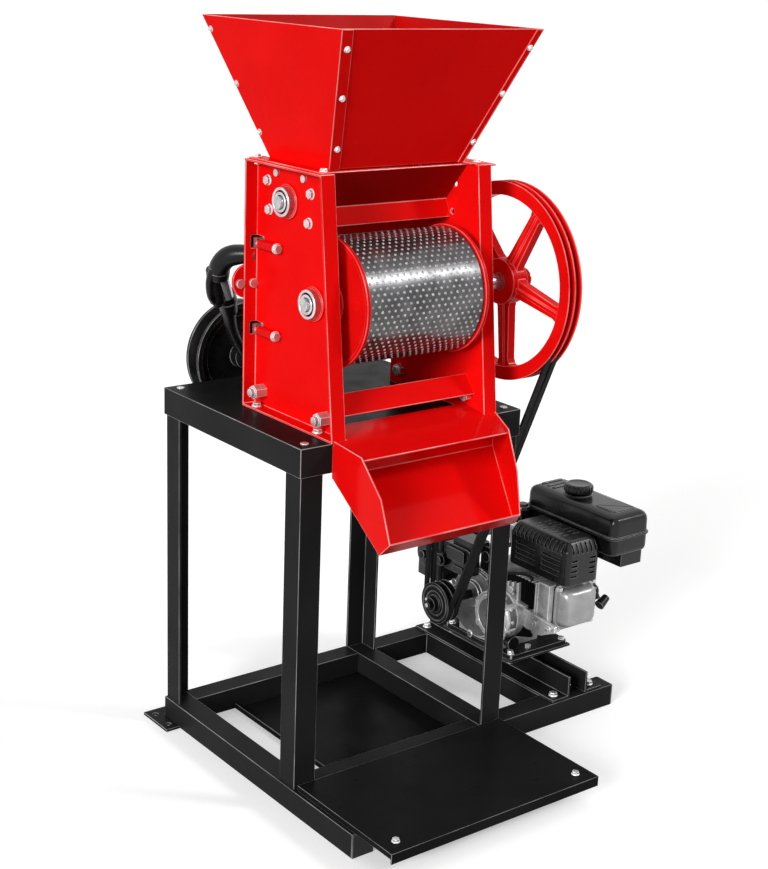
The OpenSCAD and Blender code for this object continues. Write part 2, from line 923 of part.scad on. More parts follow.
// A right panel with its folds and its foot; the left one is mirrored
module hopper_side(fold) {
    over = hopper_sheet * 1.3;
    low_reach = hopper_low_w / 2;
    color([0.78, 0.03, 0.03]) {
        on_side(90, low_reach, side_lean)
            leaning_sheet([hopper_low_front - over, hopper_low_back + over],
                [hopper_front - over, hopper_back + over], side_lean, hopper_sheet,
                foot_overlap);
        fold_strip(0, -hopper_low_front, front_lean, 1, fold);
        fold_strip(180, hopper_low_back, back_lean, -1, fold);
        difference() {
            block([low_reach - hopper_sheet, hopper_low_front - 26, plate_top],
                [bay + hopper_foot, hopper_low_back + 26, plate_top + hopper_sheet]);
            block([low_reach - 30, hopper_low_front - 30, plate_top - 1],
                [bay - 2, hopper_low_front - over, plate_top + 10]);
            block([low_reach - 30, hopper_low_back + over, plate_top - 1],
                [bay - 2, hopper_low_back + 30, plate_top + 10]);
            at_hopper_foot_bolts() bolt_hole(8, 12);
        }
    }
}

module hopper_bolts() {
    color([0.80, 0.81, 0.83]) {
        on_side(0, -hopper_low_front, front_lean) {
            at_fold_bolts(front_lean, -1, fold_left) bolt(6, 2 * hopper_sheet);
            at_fold_bolts(front_lean, 1, fold_right) bolt(6, 2 * hopper_sheet);
        }
        on_side(180, hopper_low_back, back_lean) {
            at_fold_bolts(back_lean, 1, fold_left) bolt(6, 2 * hopper_sheet);
            at_fold_bolts(back_lean, -1, fold_right) bolt(6, 2 * hopper_sheet);
        }
    }
}

// Chute

// Floor under the drum that runs out over the front edge of the table
module chute_cover() {
    run = cover_back - cover_front;
    tilt = atan2(cover_rise + cover_drop, run);
    inside = bay - fit_gap;
    off_wall = chute_sheet + fit_gap;
    mid = (chute_back - cover_front) / cos(tilt);
    back = run / cos(tilt);
    color([0.80, 0.04, 0.04])
        translate([0, cover_front, table_z - cover_drop])
            rotate([tilt, 0, 0])
                linear_extrude(chute_sheet)
                    polygon([[-chute_half + chute_sheet, 0],
                        [right_wall_x(cover_front) - off_wall, 0],
                        [right_wall_x(chute_back) - off_wall, mid],
                        [inside, mid], [inside, back], [-inside, back], [-inside, mid],
                        [-chute_half + chute_sheet, mid]]);
}

// Where the chute's right wall is at a distance in front
function right_wall_x(y) =
    chute_half + (chute_mouth_right - chute_half) * (chute_back - y) / (chute_back - wall_lip.x);

module wall_outline() {
    polygon([[chute_back, wall_top + 4], [cover_front, -2], wall_mid, wall_lip, wall_tip,
        [chute_back, wall_heel]]);
}

// Plan of the chute, from the table to in front of its lip; inset keeps only the right wall
module chute_plan(right_wall = false) {
    front = wall_lip.x - 5;
    back = chute_back + chute_sheet;
    left_x = -chute_half;
    inset = right_wall ? chute_sheet : 0;
    polygon([[right_wall ? right_wall_x(front) - inset : left_x, front],
        [right_wall_x(front), front], [right_wall_x(chute_back), chute_back],
        [chute_half, back], [right_wall ? chute_half - inset : left_x, back],
        [right_wall ? right_wall_x(chute_back) - inset : left_x, chute_back]]);
}

module chute_tray() {
    heel = [chute_back + chute_sheet, wall_heel];
    color([0.80, 0.03, 0.03]) {
        upright(-chute_half, chute_sheet) wall_outline();
        intersection() {
            upright(0, chute_half + 1) wall_outline();
            linear_extrude(table_z + 20) chute_plan(true);
        }
        intersection() {
            upright(-chute_half, chute_half * 2)
                polygon(bent_outline(wall_lip, wall_tip, heel, chute_sheet));
            linear_extrude(table_z) chute_plan();
        }
        block([-chute_half, chute_back, table_z + wall_heel - 2],
            [chute_half, chute_back + chute_sheet, table_z - 3]);
    }
}

// Belt drive

// Cross section of a belt, as an outline [radius, x] with its back at radius r
module belt_outline(r) {
    low = belt_top / 2 - belt_t * tan(groove_lean);
    polygon([[r, -belt_top / 2], [r, belt_top / 2], [r - belt_t, low], [r - belt_t, -low]]);
}

// Part of a belt that lies on a pulley, from one angle to another
module belt_arc(r, y, z, from, sweep) {
    translate([0, y, z])
        rotate([90, 0, 90])
            rotate([0, 0, from])
                rotate_extrude(angle = sweep, $fn = 96) belt_outline(r);
}

// Free side of a belt; side is 1 or -1
module belt_strand(side) {
    from = belt_aim + side * belt_wrap;
    translate([0, drum_y, drum_z])
        rotate([90, 0, 90])
            rotate([0, 0, from])
                translate([big_belt_r, 0, 0])
                    rotate([side * 90, 0, 0])
                        linear_extrude(belt_free)
                            translate([-big_belt_r, 0]) belt_outline(big_belt_r);
}

module v_belts() {
    color([0.05, 0.05, 0.05])
        for (pitch = [-1, 1])
            translate([belt_x + pitch * belt_pitch / 2, 0, 0]) {
                belt_arc(big_belt_r, drum_y, drum_z, belt_aim + belt_wrap, 360 - 2 * belt_wrap);
                belt_arc(small_belt_r, crank_y, crank_z, belt_aim - belt_wrap, 2 * belt_wrap);
                for (side = [-1, 1]) belt_strand(side);
            }
}

// Engine

module at_rail_bolts() {
    for (side = [-1, 1])
        for (end = [-1, 1])
            translate([engine_x + side * (rail_gap / 2 + rail_foot * 0.6),
                end * (half_d - tube_w / 2), tube_w + angle_t])
                children();
}

module at_engine_feet() {
    for (side = [-1, 1])
        for (end = [-1, 1])
            translate([engine_x + side * 78, end * 104, bed_plate_z + 8]) children();
}

// Two angles on the bearers, with the bed plate that the engine is bolted to
module engine_rails() {
    color([0.07, 0.07, 0.075])
        difference() {
            union() {
                for (side = [-1, 1])
                    translate([engine_x, 0, 0])
                        scale([side, 1, 1]) {
                            block([rail_gap / 2, -half_d + 4, tube_w],
                                [rail_gap / 2 + angle_t, half_d - 4, rail_web_z]);
                            block([rail_gap / 2, -half_d + 4, tube_w],
                                [rail_gap / 2 + rail_foot, half_d - 4, tube_w + angle_t]);
                        }
                block([engine_x - bed_half_x, -bed_half_y, rail_web_z],
                    [engine_x + bed_half_x, bed_half_y, bed_plate_z]);
            }
            at_rail_bolts() bolt_hole(10, 8);
            at_engine_feet() bolt_hole(8, 18);
        }
}

module engine_bolts() {
    color([0.76, 0.77, 0.79]) {
        at_rail_bolts() bolt(10, angle_t + tube_wall);
        at_engine_feet() bolt(8, 8 + bed_plate_z - rail_web_z);
    }
}

module crankshaft() {
    color([0.74, 0.75, 0.77]) {
        x_cyl(crank_end, case_x1 - 10, crank_r, crank_y, crank_z);
        translate([crank_end - 9, crank_y, crank_z]) rotate([0, 90, 0])
            cylinder(r = 11, h = 9, $fn = 6);
    }
}

module engine_pulley() {
    color([0.06, 0.06, 0.065])
        difference() {
            union() {
                spun_x(belt_x, crank_y, crank_z) grooved_rim(pulley_r, 22, pulley_sunk, true);
                x_cyl(belt_x - rim_w / 2, belt_x + rim_w / 2 - 16, pulley_r - 20,
                    crank_y, crank_z);
                x_cyl(crank_end, belt_x + rim_w / 2 + 14, pulley_hub_r, crank_y, crank_z);
            }
            x_cyl(crank_end - 1, belt_x + rim_w, crank_r + run_gap, crank_y, crank_z);
        }
}

module crankcase() {
    foot_z = bed_plate_z;
    color([0.70, 0.71, 0.72])
        difference() {
            union() {
                x_cyl(case_x0, case_x1, case_r, case_y, case_z);
                x_cyl(case_x0 + 1, case_x0 + 28, lobe_r, lobe_y, case_z);
                block([case_x0 + 8, case_y - 74, foot_z + 4], [case_x1 - 8, case_y + 74, case_z]);
                block([engine_x - bed_half_x + 6, -bed_half_y + 6, foot_z],
                    [engine_x + bed_half_x - 6, bed_half_y - 6, foot_z + 8]);
            }
            x_cyl(case_x0 - 1, case_x1 + 1, crank_r + run_gap, crank_y, crank_z);
            at_engine_feet() bolt_hole(8, 18);
        }
}

// Cover on the drive side, with a ring of bolt bosses and a seal boss
module side_cover() {
    color([0.76, 0.77, 0.78])
        difference() {
            union() {
                x_cyl(cover_x, case_x0, cover_r - 6, case_y, case_z);
                x_cyl(case_x0 - 6, case_x0, cover_r, case_y, case_z);
                x_cyl(cover_x - 10, cover_x, 30, crank_y, crank_z);
                x_cyl(lobe_x, case_x0 - 1, lobe_r, lobe_y, case_z);
                for (i = [0 : 6])
                    x_cyl(cover_x - 2, case_x0, 8,
                        case_y + (cover_r - 4) * cos(20 + i * 360 / 7),
                        case_z + (cover_r - 4) * sin(20 + i * 360 / 7));
            }
            x_cyl(cover_x - 11, case_x0 + 1, crank_r + run_gap, crank_y, crank_z);
        }
}

// Cylinder leaning forward, with cooling fins
module cylinder_block() {
    fins = 6;
    color([0.66, 0.67, 0.68])
        difference() {
            union() {
                block([case_x0 + 36, -150, crank_z - 38], [case_x1 + 6, -60, crank_z + 62]);
                for (i = [0 : fins - 1])
                    block([case_x0 + 30, -150 + i * 11, crank_z - 52],
                        [case_x1 + 16, -146 + i * 11, crank_z + 68]);
                block([head_x - 50, -184, crank_z - 44], [head_x + 82, -150, head_top]);
                block([head_x + 72, -178, head_top], [head_x + 81, -158, tank_lo.z]);
            }
            x_cyl(case_x0 - 1, case_x1 + 20, case_r + 0.2, case_y, case_z);
        }
}

module valve_cover() {
    color([0.74, 0.75, 0.77]) {
        block([head_x - 34, -192, head_z - 56], [head_x + 80, -184, head_z + 52]);
        translate([head_x + 24, -192, head_z - 2])
            rotate([90, 0, 0])
                linear_extrude(28)
                    offset(8) square([82, 78], center = true);
    }
}

module muffler() {
    inset = [10, 12, 9];
    low = guard_lo + inset;
    high = guard_hi - inset;
    color([0.30, 0.30, 0.31]) {
        block(low, high);
        z_cyl(head_top, low.z + 1, 15, head_x + 5, -167);
        for (y = [-170, -80])
            z_cyl(high.z - 1, guard_hi.z - guard_wall, 6, (low.x + high.x) / 2, y);
    }
}

// Slotted shell over the muffler, open below
module muffler_guard() {
    slots = 12;
    pitch = (guard_hi.y - guard_lo.y - 34) / (slots - 1);
    end_slots = 7;
    end_pitch = (guard_hi.x - guard_lo.x - 26) / (end_slots - 1);
    size = guard_hi - guard_lo;
    color([0.07, 0.07, 0.075])
        difference() {
            translate(guard_lo) guard_shell(size, 12);
            translate(guard_lo + [guard_wall, guard_wall, -1])
                guard_shell(size - [2 * guard_wall, 2 * guard_wall, guard_wall - 1], 10);
            for (i = [0 : slots - 1])
                block([guard_lo.x - 1, guard_lo.y + 15 + i * pitch, guard_hi.z - 34],
                    [guard_lo.x + 10, guard_lo.y + 19 + i * pitch, guard_hi.z - 14]);
            for (i = [0 : end_slots - 1])
                block([guard_lo.x + 11 + i * end_pitch, guard_lo.y - 1, guard_hi.z - 34],
                    [guard_lo.x + 15 + i * end_pitch, guard_lo.y + 10, guard_hi.z - 14]);
            for (row = [0 : 2])
                block([guard_lo.x - 1, guard_lo.y + 30, guard_lo.z + 16 + row * 14],
                    [guard_lo.x + 10, guard_hi.y - 30, guard_lo.z + 20 + row * 14]);
        }
}

// Block with rounded upright edges and a bevel round its top
module guard_shell(size, round_r) {
    bevel = 9;
    hull() {
        linear_extrude(size.z - bevel) rounded_rect(size.x, size.y, round_r);
        translate([bevel, bevel, 0])
            linear_extrude(size.z)
                rounded_rect(size.x - 2 * bevel, size.y - 2 * bevel, round_r - bevel + 4);
    }
}

module rounded_rect(w, d, r) {
    translate([r, r]) offset(r, $fn = 24) square([w - 2 * r, d - 2 * r]);
}

module fuel_tank() {
    size = tank_hi - tank_lo;
    color([0.08, 0.08, 0.085])
        difference() {
            union() {
                translate(tank_lo) guard_shell(size, tank_edge);
                translate(tank_lo + [-4, -4, size.z * 0.42])
                    linear_extrude(5) rounded_rect(size.x + 8, size.y + 8, tank_edge);
                block([tank_lo.x + 40, tank_lo.y + 10, tank_lo.z - 34],
                    [tank_hi.x - 10, tank_lo.y + 90, tank_lo.z + 10]);
                z_cyl(tank_hi.z - 12, tank_hi.z + 6, 20, cap_x, cap_y);
            }
            z_cyl(tank_hi.z - 40, tank_hi.z + 7, 16, cap_x, cap_y);
        }
}

module fuel_cap() {
    color([0.05, 0.05, 0.055])
        translate([cap_x, cap_y, tank_hi.z + 6 + fit_gap]) {
            cylinder(r = 33, h = 14);
            translate([0, 0, 14]) cylinder(r1 = 33, r2 = 28, h = 5);
            for (i = [0 : 15])
                rotate([0, 0, i * 22.5]) translate([33, 0, 0]) cylinder(r = 2.4, h = 13);
            translate([0, 0, -18]) cylinder(r = 16 - hole_gap, h = 18);
        }
}

module air_cleaner() {
    knob_y = (cleaner_lo.y + cleaner_hi.y) / 2;
    knob_z = cleaner_lo.z + 62;
    color([0.07, 0.07, 0.075]) {
        translate(cleaner_lo)
            linear_extrude(cleaner_hi.z - cleaner_lo.z)
                rounded_rect(cleaner_hi.x - cleaner_lo.x, cleaner_hi.y - cleaner_lo.y, 12);
        x_cyl(cleaner_lo.x - 12, cleaner_lo.x, 30, knob_y, knob_z);
        x_cyl(cleaner_lo.x - 24, cleaner_lo.x - 12, 10, knob_y, knob_z);
    }
}

// Carburettor with its intake pipe and the pin of the throttle lever
module carburettor() {
    color([0.45, 0.45, 0.46]) {
        block([548, -24, 300], [586, 60, 352]);
        block([lever_x - 16, 59, lever_z - 33], [lever_x + 16, 122, lever_z - 1]);
        x_cyl(cleaner_hi.x, lever_x - 15, 15, 108, lever_z - 17);
        z_cyl(crank_z + 60, 301, 16, 567, crank_y);
        z_cyl(lever_z - 2, lever_z + 5, lever_pin_r, lever_x, lever_y);
        z_cyl(lever_z + 4, lever_z + 6, lever_pin_r + 2, lever_x, lever_y);
    }
}

module throttle_lever() {
    reach = 48;
    color([0.06, 0.06, 0.065])
        translate([lever_x, lever_y, lever_z])
            difference() {
                union() {
                    cylinder(r = 9, h = 3);
                    translate([-6, 0, 0]) cube([12, reach, 3]);
                    translate([0, reach, 0]) cylinder(r = 8, h = 12);
                }
                translate([0, 0, -1]) cylinder(r = lever_pin_r + run_gap, h = 5);
            }
}

// Cover over the engine's fan, with a boss for the starter on its outside
module recoil_starter() {
    color([0.09, 0.09, 0.095])
        difference() {
            union() {
                x_cyl(recoil_x0, recoil_x1 - 24, recoil_r + 6, crank_y, crank_z);
                x_cyl(recoil_x1 - 24, recoil_x1, recoil_r - 16, crank_y, crank_z);
                x_cyl(case_x1, recoil_x0, 60, crank_y, crank_z);
                block([cord_x - 12, -86, cord_z - 12], [cord_x + 12, 86, cord_z + 12]);
                block([cord_x - 26, -62, crank_z + 50], [cord_x + 4, -50, tank_lo.z]);
            }
            y_cyl(-87, 70, cord_r + fit_gap, cord_x, cord_z);
            for (ring = [30, 46])
                for (i = [0 : 7])
                    x_cyl(recoil_x1 - 6, recoil_x1 + 1, 5, crank_y + ring * cos(i * 45),
                        crank_z + ring * sin(i * 45));
        }
}

// Grip of the starter with the stretch of cord behind it
module starter_handle() {
    color([0.05, 0.05, 0.055]) {
        block([cord_x - 32, -110, cord_z - 9], [cord_x + 32, -96, cord_z + 9]);
        y_cyl(-96, -86 - fit_gap, 8, cord_x, cord_z);
        y_cyl(-90, 64, cord_r, cord_x, cord_z);
    }
}

module oil_filler_plugs() {
    color([0.06, 0.06, 0.065])
        for (side = [-1, 1])
            translate([case_x0 + 26, case_y + side * 74, bed_plate_z + 26])
                rotate([-side * 90, 0, 0]) {
                    cylinder(r = 13, h = 14);
                    translate([0, 0, 14]) cylinder(r = 17, h = 8, $fn = 24);
                }
}

// Rear wheel and its arm

module rear_bracket() {
    color([0.75, 0.03, 0.03])
        difference() {
            translate([0, bracket_y + bracket_t, bracket_z])
                rotate([90, 0, 0])
                    linear_extrude(bracket_t)
                        union() {
                            translate([-bay - 22, 0]) circle(r = 34);
                            translate([-bay - 22, -34]) square([62, 84]);
                            translate([arm_start.x, arm_start.z - bracket_z])
                                circle(r = arm_r + 8);
                        }
            for (x = [-bay - 13, -bay - 41])
                y_cyl(bracket_y - 1, bracket_y + bracket_t + 1, 5 + hole_gap, x, bracket_z - 3);
        }
}

// Elbow from the bracket, cheek past the pin, sleeve, and the leg to the axle
module rear_arm() {
    round_over = 0.8;
    cheek_r = 12;
    color([0.07, 0.07, 0.075])
        difference() {
            union() {
                bar(arm_start - [0, 12, 0], arm_elbow, arm_r);
                translate(arm_elbow) sphere(arm_r + round_over);
                bar(arm_elbow, arm_knuckle, arm_r);
                translate(arm_knuckle) sphere(sleeve_r);
                bar(arm_knuckle, cheek_low, cheek_r);
                translate(cheek_low) sphere(cheek_r + round_over);
                bar(sleeve_top, sleeve_low, sleeve_r);
                translate(sleeve_low) sphere(sleeve_r + round_over);
                bar(sleeve_low, [wheel_x, (boss_y0 + boss_y1) / 2, wheel_z], leg_r);
                y_cyl(boss_y0, boss_y1, 24, wheel_x, wheel_z);
            }
            block([-300, bracket_y - 60, table_z + 200], [0, bracket_y + bracket_t, table_z + 360]);
            bar(pin_top, pin_end, pin_r + 0.2);
            y_cyl(boss_y0 - 1, boss_y1 + 1, axle_r + 0.1, wheel_x, wheel_z);
        }
}

// Bright pin between the knuckle and the sleeve of the arm, and the axle of the wheel
module rear_axle() {
    axle_end = wheel_y0 + wheel_w + 4;
    color([0.76, 0.77, 0.79]) {
        bar(pin_top, pin_end, pin_r);
        y_cyl(boss_y0 - 4, axle_end, axle_r, wheel_x, wheel_z);
        y_cyl(boss_y0 - 10, boss_y0 - 4, 14, wheel_x, wheel_z);
        y_cyl(axle_end, axle_end + 6, 14, wheel_x, wheel_z);
    }
}

module rear_wheel() {
    mid = wheel_w / 2;
    web_t = 10;
    rim_depth = 30;
    groove_depth = 20;
    hub_t = 16;
    flat = 7; // the rim's flat edge on each side of its groove
    recess = 12;
    color([0.06, 0.06, 0.065])
        translate([wheel_x, wheel_y0 + wheel_w, wheel_z])
            rotate([90, 0, 0])
                rotate_extrude($fn = 96)
                    difference() {
                        union() {
                            translate([axle_r + run_gap, -3]) square([hub_t, wheel_w + 6]);
                            translate([axle_r + 8, mid - web_t / 2])
                                square([wheel_r - rim_depth - 10, web_t]);
                            translate([wheel_r - rim_depth, 0]) square([rim_depth, wheel_w]);
                        }
                        polygon([[wheel_r + 1, flat], [wheel_r + 1, wheel_w - flat],
                            [wheel_r - groove_depth, wheel_w - 16], [wheel_r - groove_depth, 16]]);
                        for (y = [-1, wheel_w - recess + 1])
                            translate([wheel_r - rim_depth - 1, y])
                                square([groove_depth, recess]);
                    }
}

table_top();
leg(-1, -1);  // leg_front_left
leg(1, -1);  // leg_front_right
leg(-1, 1);  // leg_back_left
leg(1, 1);  // leg_back_right
base_rail(-1);  // base_rail_left
base_rail(1);  // base_rail_right
base_cross_rails();
engine_bearers();
tube_end_caps();
floor_tray();
anchor_tabs();
step_plate();
step_bars();
stand_bolts();
mirror([1, 0, 0]) side_plate(left_top_flange_w);  // side_plate_left
side_plate();  // side_plate_right
throat_front_plate();
throat_rear_plate();
lower_deflector();
breast_plate();
breast_adjusters();
housing_bolts();
bearing_housings();
bearing_inserts();
drum_shell();
drum_discs();
drum_shaft();
feed_roller();
flywheel();
hopper_front();
hopper_back();
mirror([1, 0, 0]) hopper_side(fold_left);  // hopper_left
hopper_side(fold_right);  // hopper_right
hopper_bolts();
chute_cover();
chute_tray();
v_belts();
engine_rails();
engine_bolts();
crankshaft();
engine_pulley();
crankcase();
side_cover();
cylinder_block();  // cylinder
valve_cover();
muffler();
muffler_guard();
fuel_tank();
fuel_cap();
air_cleaner();
carburettor();
throttle_lever();
recoil_starter();
starter_handle();
oil_filler_plugs();
rear_bracket();
rear_arm();
rear_axle();
rear_wheel();
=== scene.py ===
import json
import math
import random

import bmesh
import bpy
from mathutils import Matrix, Vector

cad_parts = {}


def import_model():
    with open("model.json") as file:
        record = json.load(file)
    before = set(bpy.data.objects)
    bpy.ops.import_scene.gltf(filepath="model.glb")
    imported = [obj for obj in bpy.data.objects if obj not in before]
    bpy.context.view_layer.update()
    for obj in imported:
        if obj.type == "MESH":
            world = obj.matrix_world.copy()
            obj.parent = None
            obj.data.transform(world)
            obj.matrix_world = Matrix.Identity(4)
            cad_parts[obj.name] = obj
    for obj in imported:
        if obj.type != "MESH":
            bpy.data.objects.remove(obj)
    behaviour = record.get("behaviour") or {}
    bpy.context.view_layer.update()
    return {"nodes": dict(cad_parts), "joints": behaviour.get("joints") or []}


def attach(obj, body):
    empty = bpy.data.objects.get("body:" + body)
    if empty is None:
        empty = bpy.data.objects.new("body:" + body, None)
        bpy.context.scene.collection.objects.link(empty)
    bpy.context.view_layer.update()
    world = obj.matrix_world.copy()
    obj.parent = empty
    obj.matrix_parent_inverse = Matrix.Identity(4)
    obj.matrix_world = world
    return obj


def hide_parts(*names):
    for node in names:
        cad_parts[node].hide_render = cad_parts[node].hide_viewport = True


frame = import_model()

MM = 0.001
TURN = 2 * math.pi


def box_of(node):
    """Low and high corner of a CAD node, in millimetres to the nearest tenth."""
    obj = frame["nodes"][node]
    points = [obj.matrix_world @ vertex.co / MM for vertex in obj.data.vertices]
    return [[round(pick(p[i] for p in points), 1) for i in range(3)] for pick in (min, max)]


def joint_at(name):
    """Place of a joint, in millimetres to the nearest tenth."""
    joint = next(j for j in frame["joints"] if j["name"] == name)
    return [round(value / MM, 1) for value in joint["pos_m"]]


# Camera, light and floor

def camera():
    """The photograph's viewpoint, worked out from the upright and level edges in it."""
    focal_pixels = 1614.63
    long_side_pixels = 869
    stand = (-1.88286, -2.56206, 1.63941)
    far_clip = 100
    data = bpy.data.cameras.new("camera")
    data.lens = focal_pixels / long_side_pixels * data.sensor_width
    data.clip_end = far_clip
    obj = bpy.data.objects.new("camera", data)
    bpy.context.scene.collection.objects.link(obj)
    back = Vector((-0.5885, -0.7546, 0.2902)).normalized()
    up = Vector((0.1479, 0.2524, 0.9563))
    right = up.cross(back).normalized()
    up = back.cross(right)
    turn = Matrix((right, up, back)).transposed()
    obj.matrix_world = Matrix.Translation(stand) @ turn.to_4x4()
    bpy.context.scene.camera = obj
    bpy.context.scene.view_settings.view_transform = "Standard"


def sun(name, towards, strength, width):
    """A far soft light in the direction given; width is how wide it looks, in degrees."""
    data = bpy.data.lights.new(name, "SUN")
    data.energy = strength
    data.angle = math.radians(width)
    obj = bpy.data.objects.new(name, data)
    bpy.context.scene.collection.objects.link(obj)
    obj.rotation_mode = "QUATERNION"
    obj.rotation_quaternion = Vector(towards).to_track_quat("Z", "Y")


def seen_directly(tree):
    """1 where the camera looks at a surface, straight or by way of metal or glass."""
    path = tree.nodes.new("ShaderNodeLightPath")
    total = path.outputs["Is Camera Ray"]
    for ray in ("Is Glossy Ray", "Is Transmission Ray"):
        larger = tree.nodes.new("ShaderNodeMath")
        larger.operation = "MAXIMUM"
        tree.links.new(total, larger.inputs[0])
        tree.links.new(path.outputs[ray], larger.inputs[1])
        total = larger.outputs[0]
    return total


def world():
    """A plain white studio, whose light falls mostly from overhead."""
    made = bpy.data.worlds.new("studio")
    bpy.context.scene.world = made
    made.use_nodes = True
    tree = made.node_tree
    coords = tree.nodes.new("ShaderNodeTexCoord")
    split = tree.nodes.new("ShaderNodeSeparateXYZ")
    tree.links.new(coords.outputs["Generated"], split.inputs[0])
    overhead = spread(tree, split.outputs["Z"], -0.1, 0.9, 0.24, 0.46)
    colour = mixed(tree, seen_directly(tree), overhead, (1, 1, 1))
    tree.links.new(colour, tree.nodes["Background"].inputs["Color"])


def floor():
    """Pale floor. It looks white, and throws little light back up at the machine."""
    size = 60
    pale_grey, dull_grey, glow_strength = 0.86, 0.30, 0.34
    mesh = bpy.data.meshes.new("floor")
    corners = [(-size, -size, 0), (size, -size, 0), (size, size, 0), (-size, size, 0)]
    mesh.from_pydata(corners, [], [(0, 1, 2, 3)])
    obj = bpy.data.objects.new("floor", mesh)
    bpy.context.scene.collection.objects.link(obj)
    mat = bpy.data.materials.new("floor")
    mat.use_nodes = True
    tree = mat.node_tree
    tree.nodes.clear()
    pale = tree.nodes.new("ShaderNodeBsdfDiffuse")
    pale.inputs["Color"].default_value = (*[pale_grey] * 3, 1)
    glow = tree.nodes.new("ShaderNodeEmission")
    glow.inputs["Strength"].default_value = glow_strength
    both = tree.nodes.new("ShaderNodeAddShader")
    dull = tree.nodes.new("ShaderNodeBsdfDiffuse")
    dull.inputs["Color"].default_value = (*[dull_grey] * 3, 1)
    choice = tree.nodes.new("ShaderNodeMixShader")
    out = tree.nodes.new("ShaderNodeOutputMaterial")
    tree.links.new(pale.outputs[0], both.inputs[0])
    tree.links.new(glow.outputs[0], both.inputs[1])
    tree.links.new(seen_directly(tree), choice.inputs[0])
    tree.links.new(dull.outputs[0], choice.inputs[1])
    tree.links.new(both.outputs[0], choice.inputs[2])
    tree.links.new(choice.outputs[0], out.inputs["Surface"])
    mesh.materials.append(mat)


# Materials

def noise(tree, coords, scale, detail, stretch=None):
    """Noise in the piece's own coordinates; stretch draws its grains out along an axis."""
    node = tree.nodes.new("ShaderNodeTexNoise")
    node.inputs["Scale"].default_value = scale
    node.inputs["Detail"].default_value = detail
    source = coords
    if stretch:
        mapping = tree.nodes.new("ShaderNodeMapping")
        mapping.inputs["Scale"].default_value = stretch
        tree.links.new(source, mapping.inputs["Vector"])
        source = mapping.outputs["Vector"]
    tree.links.new(source, node.inputs["Vector"])
    return node.outputs["Fac"]


def spread(tree, value, low, high, to_low=0.0, to_high=1.0):
    """Maps a value from one range onto another, and holds it at the ends."""
    node = tree.nodes.new("ShaderNodeMapRange")
    node.inputs["From Min"].default_value = low
    node.inputs["From Max"].default_value = high
    node.inputs["To Min"].default_value = to_low
    node.inputs["To Max"].default_value = to_high
    tree.links.new(value, node.inputs["Value"])
    return node.outputs["Result"]


def mixed(tree, amount, first, second):
    """Mixes two colours, each a tuple or the output of another node."""
    node = tree.nodes.new("ShaderNodeMix")
    node.data_type = "RGBA"
    tree.links.new(amount, node.inputs["Factor"])
    for socket, colour in (("A", first), ("B", second)):
        target = [i for i in node.inputs if i.name == socket and i.type == "RGBA"][0]
        if isinstance(colour, tuple):
            target.default_value = (*colour, 1)
        else:
            tree.links.new(colour, target)
    return [o for o in node.outputs if o.type == "RGBA"][0]


def finish(name, dark, light, rough, metal=0.0, specular=0.5, drift=9, grain=700,
           bump=0.12, bump_mm=0.3, stretch=None, under=None, grime=None, coat=0.0):
    """A procedural finish.

    The colour drifts between dark and light, grime lies in patches, and under is a painted shade
    on the faces that look down. drift and grain are the scales of the clouds and of the fine relief.
    """
    mat = bpy.data.materials.new(name)
    mat.use_nodes = True
    tree = mat.node_tree
    shader = tree.nodes["Principled BSDF"]
    coords = tree.nodes.new("ShaderNodeTexCoord").outputs["Object"]
    cloud = noise(tree, coords, drift, 6)
    fine = noise(tree, coords, grain, 3, stretch)
    colour = mixed(tree, spread(tree, cloud, 0.32, 0.68), dark, light)
    if grime:
        patch = noise(tree, coords, drift * 4.7, 8)
        colour = mixed(tree, spread(tree, patch, 0.56, 0.78, 0, 0.65), colour, grime)
    # Painted shade: a darker colour on the faces that look down.
    if under:
        split = tree.nodes.new("ShaderNodeSeparateXYZ")
        normal = tree.nodes.new("ShaderNodeNewGeometry").outputs["True Normal"]
        tree.links.new(normal, split.inputs[0])
        colour = mixed(tree, spread(tree, split.outputs["Z"], -0.05, -0.30), colour, under)
    tree.links.new(colour, shader.inputs["Base Color"])
    low, high = rough
    smear = noise(tree, coords, drift * 3.1, 5)
    tree.links.new(spread(tree, smear, 0.3, 0.7, low, high), shader.inputs["Roughness"])
    shader.inputs["Metallic"].default_value = metal
    shader.inputs["Specular IOR Level"].default_value = specular
    shader.inputs["Coat Weight"].default_value = coat
    shader.inputs["Coat Roughness"].default_value = 0.12
    relief = tree.nodes.new("ShaderNodeBump")
    relief.inputs["Strength"].default_value = bump
    relief.inputs["Distance"].default_value = bump_mm * MM
    tree.links.new(fine, relief.inputs["Height"])
    tree.links.new(relief.outputs["Normal"], shader.inputs["Normal"])
    return mat


RED = finish("red_enamel", (0.78, 0.0030, 0.0030), (0.85, 0.0042, 0.0040), (0.22, 0.34),
             specular=0.014, drift=5, grain=420, bump=0.05, bump_mm=0.4)
# Lighter red for the rounded edges of the enamel: a painted highlight.
RED_HIGHLIGHT = finish("red_enamel_edge_highlight", (0.92, 0.090, 0.080), (0.98, 0.42, 0.38), (0.20, 0.30),
                  specular=0.5, drift=12, grain=500, bump=0.05)
RED_GLOSS = finish("red_enamel_gloss", (0.76, 0.0030, 0.0030), (0.83, 0.0042, 0.0040),
                   (0.10, 0.20), specular=0.05, drift=5, grain=380, bump=0.05, bump_mm=0.4)
# Darker red for the hopper's inner faces: painted shade.
RED_PAINTED_SHADE = finish("red_enamel_painted_shade", (0.42, 0.0025, 0.0025), (0.50, 0.0035, 0.0032),
                    (0.30, 0.42), specular=0.035, drift=5, grain=420, bump=0.05, bump_mm=0.4)
# Red of the throat, with a painted shade on its faces that look down.
RED_THROAT_PAINTED_SHADE = finish("red_enamel_throat_painted_shade", (0.78, 0.0030, 0.0030), (0.85, 0.0042, 0.0040),
                    (0.22, 0.34), specular=0.014, drift=5, grain=420, bump=0.05, bump_mm=0.4,
                    under=(0.34, 0.0022, 0.0022))
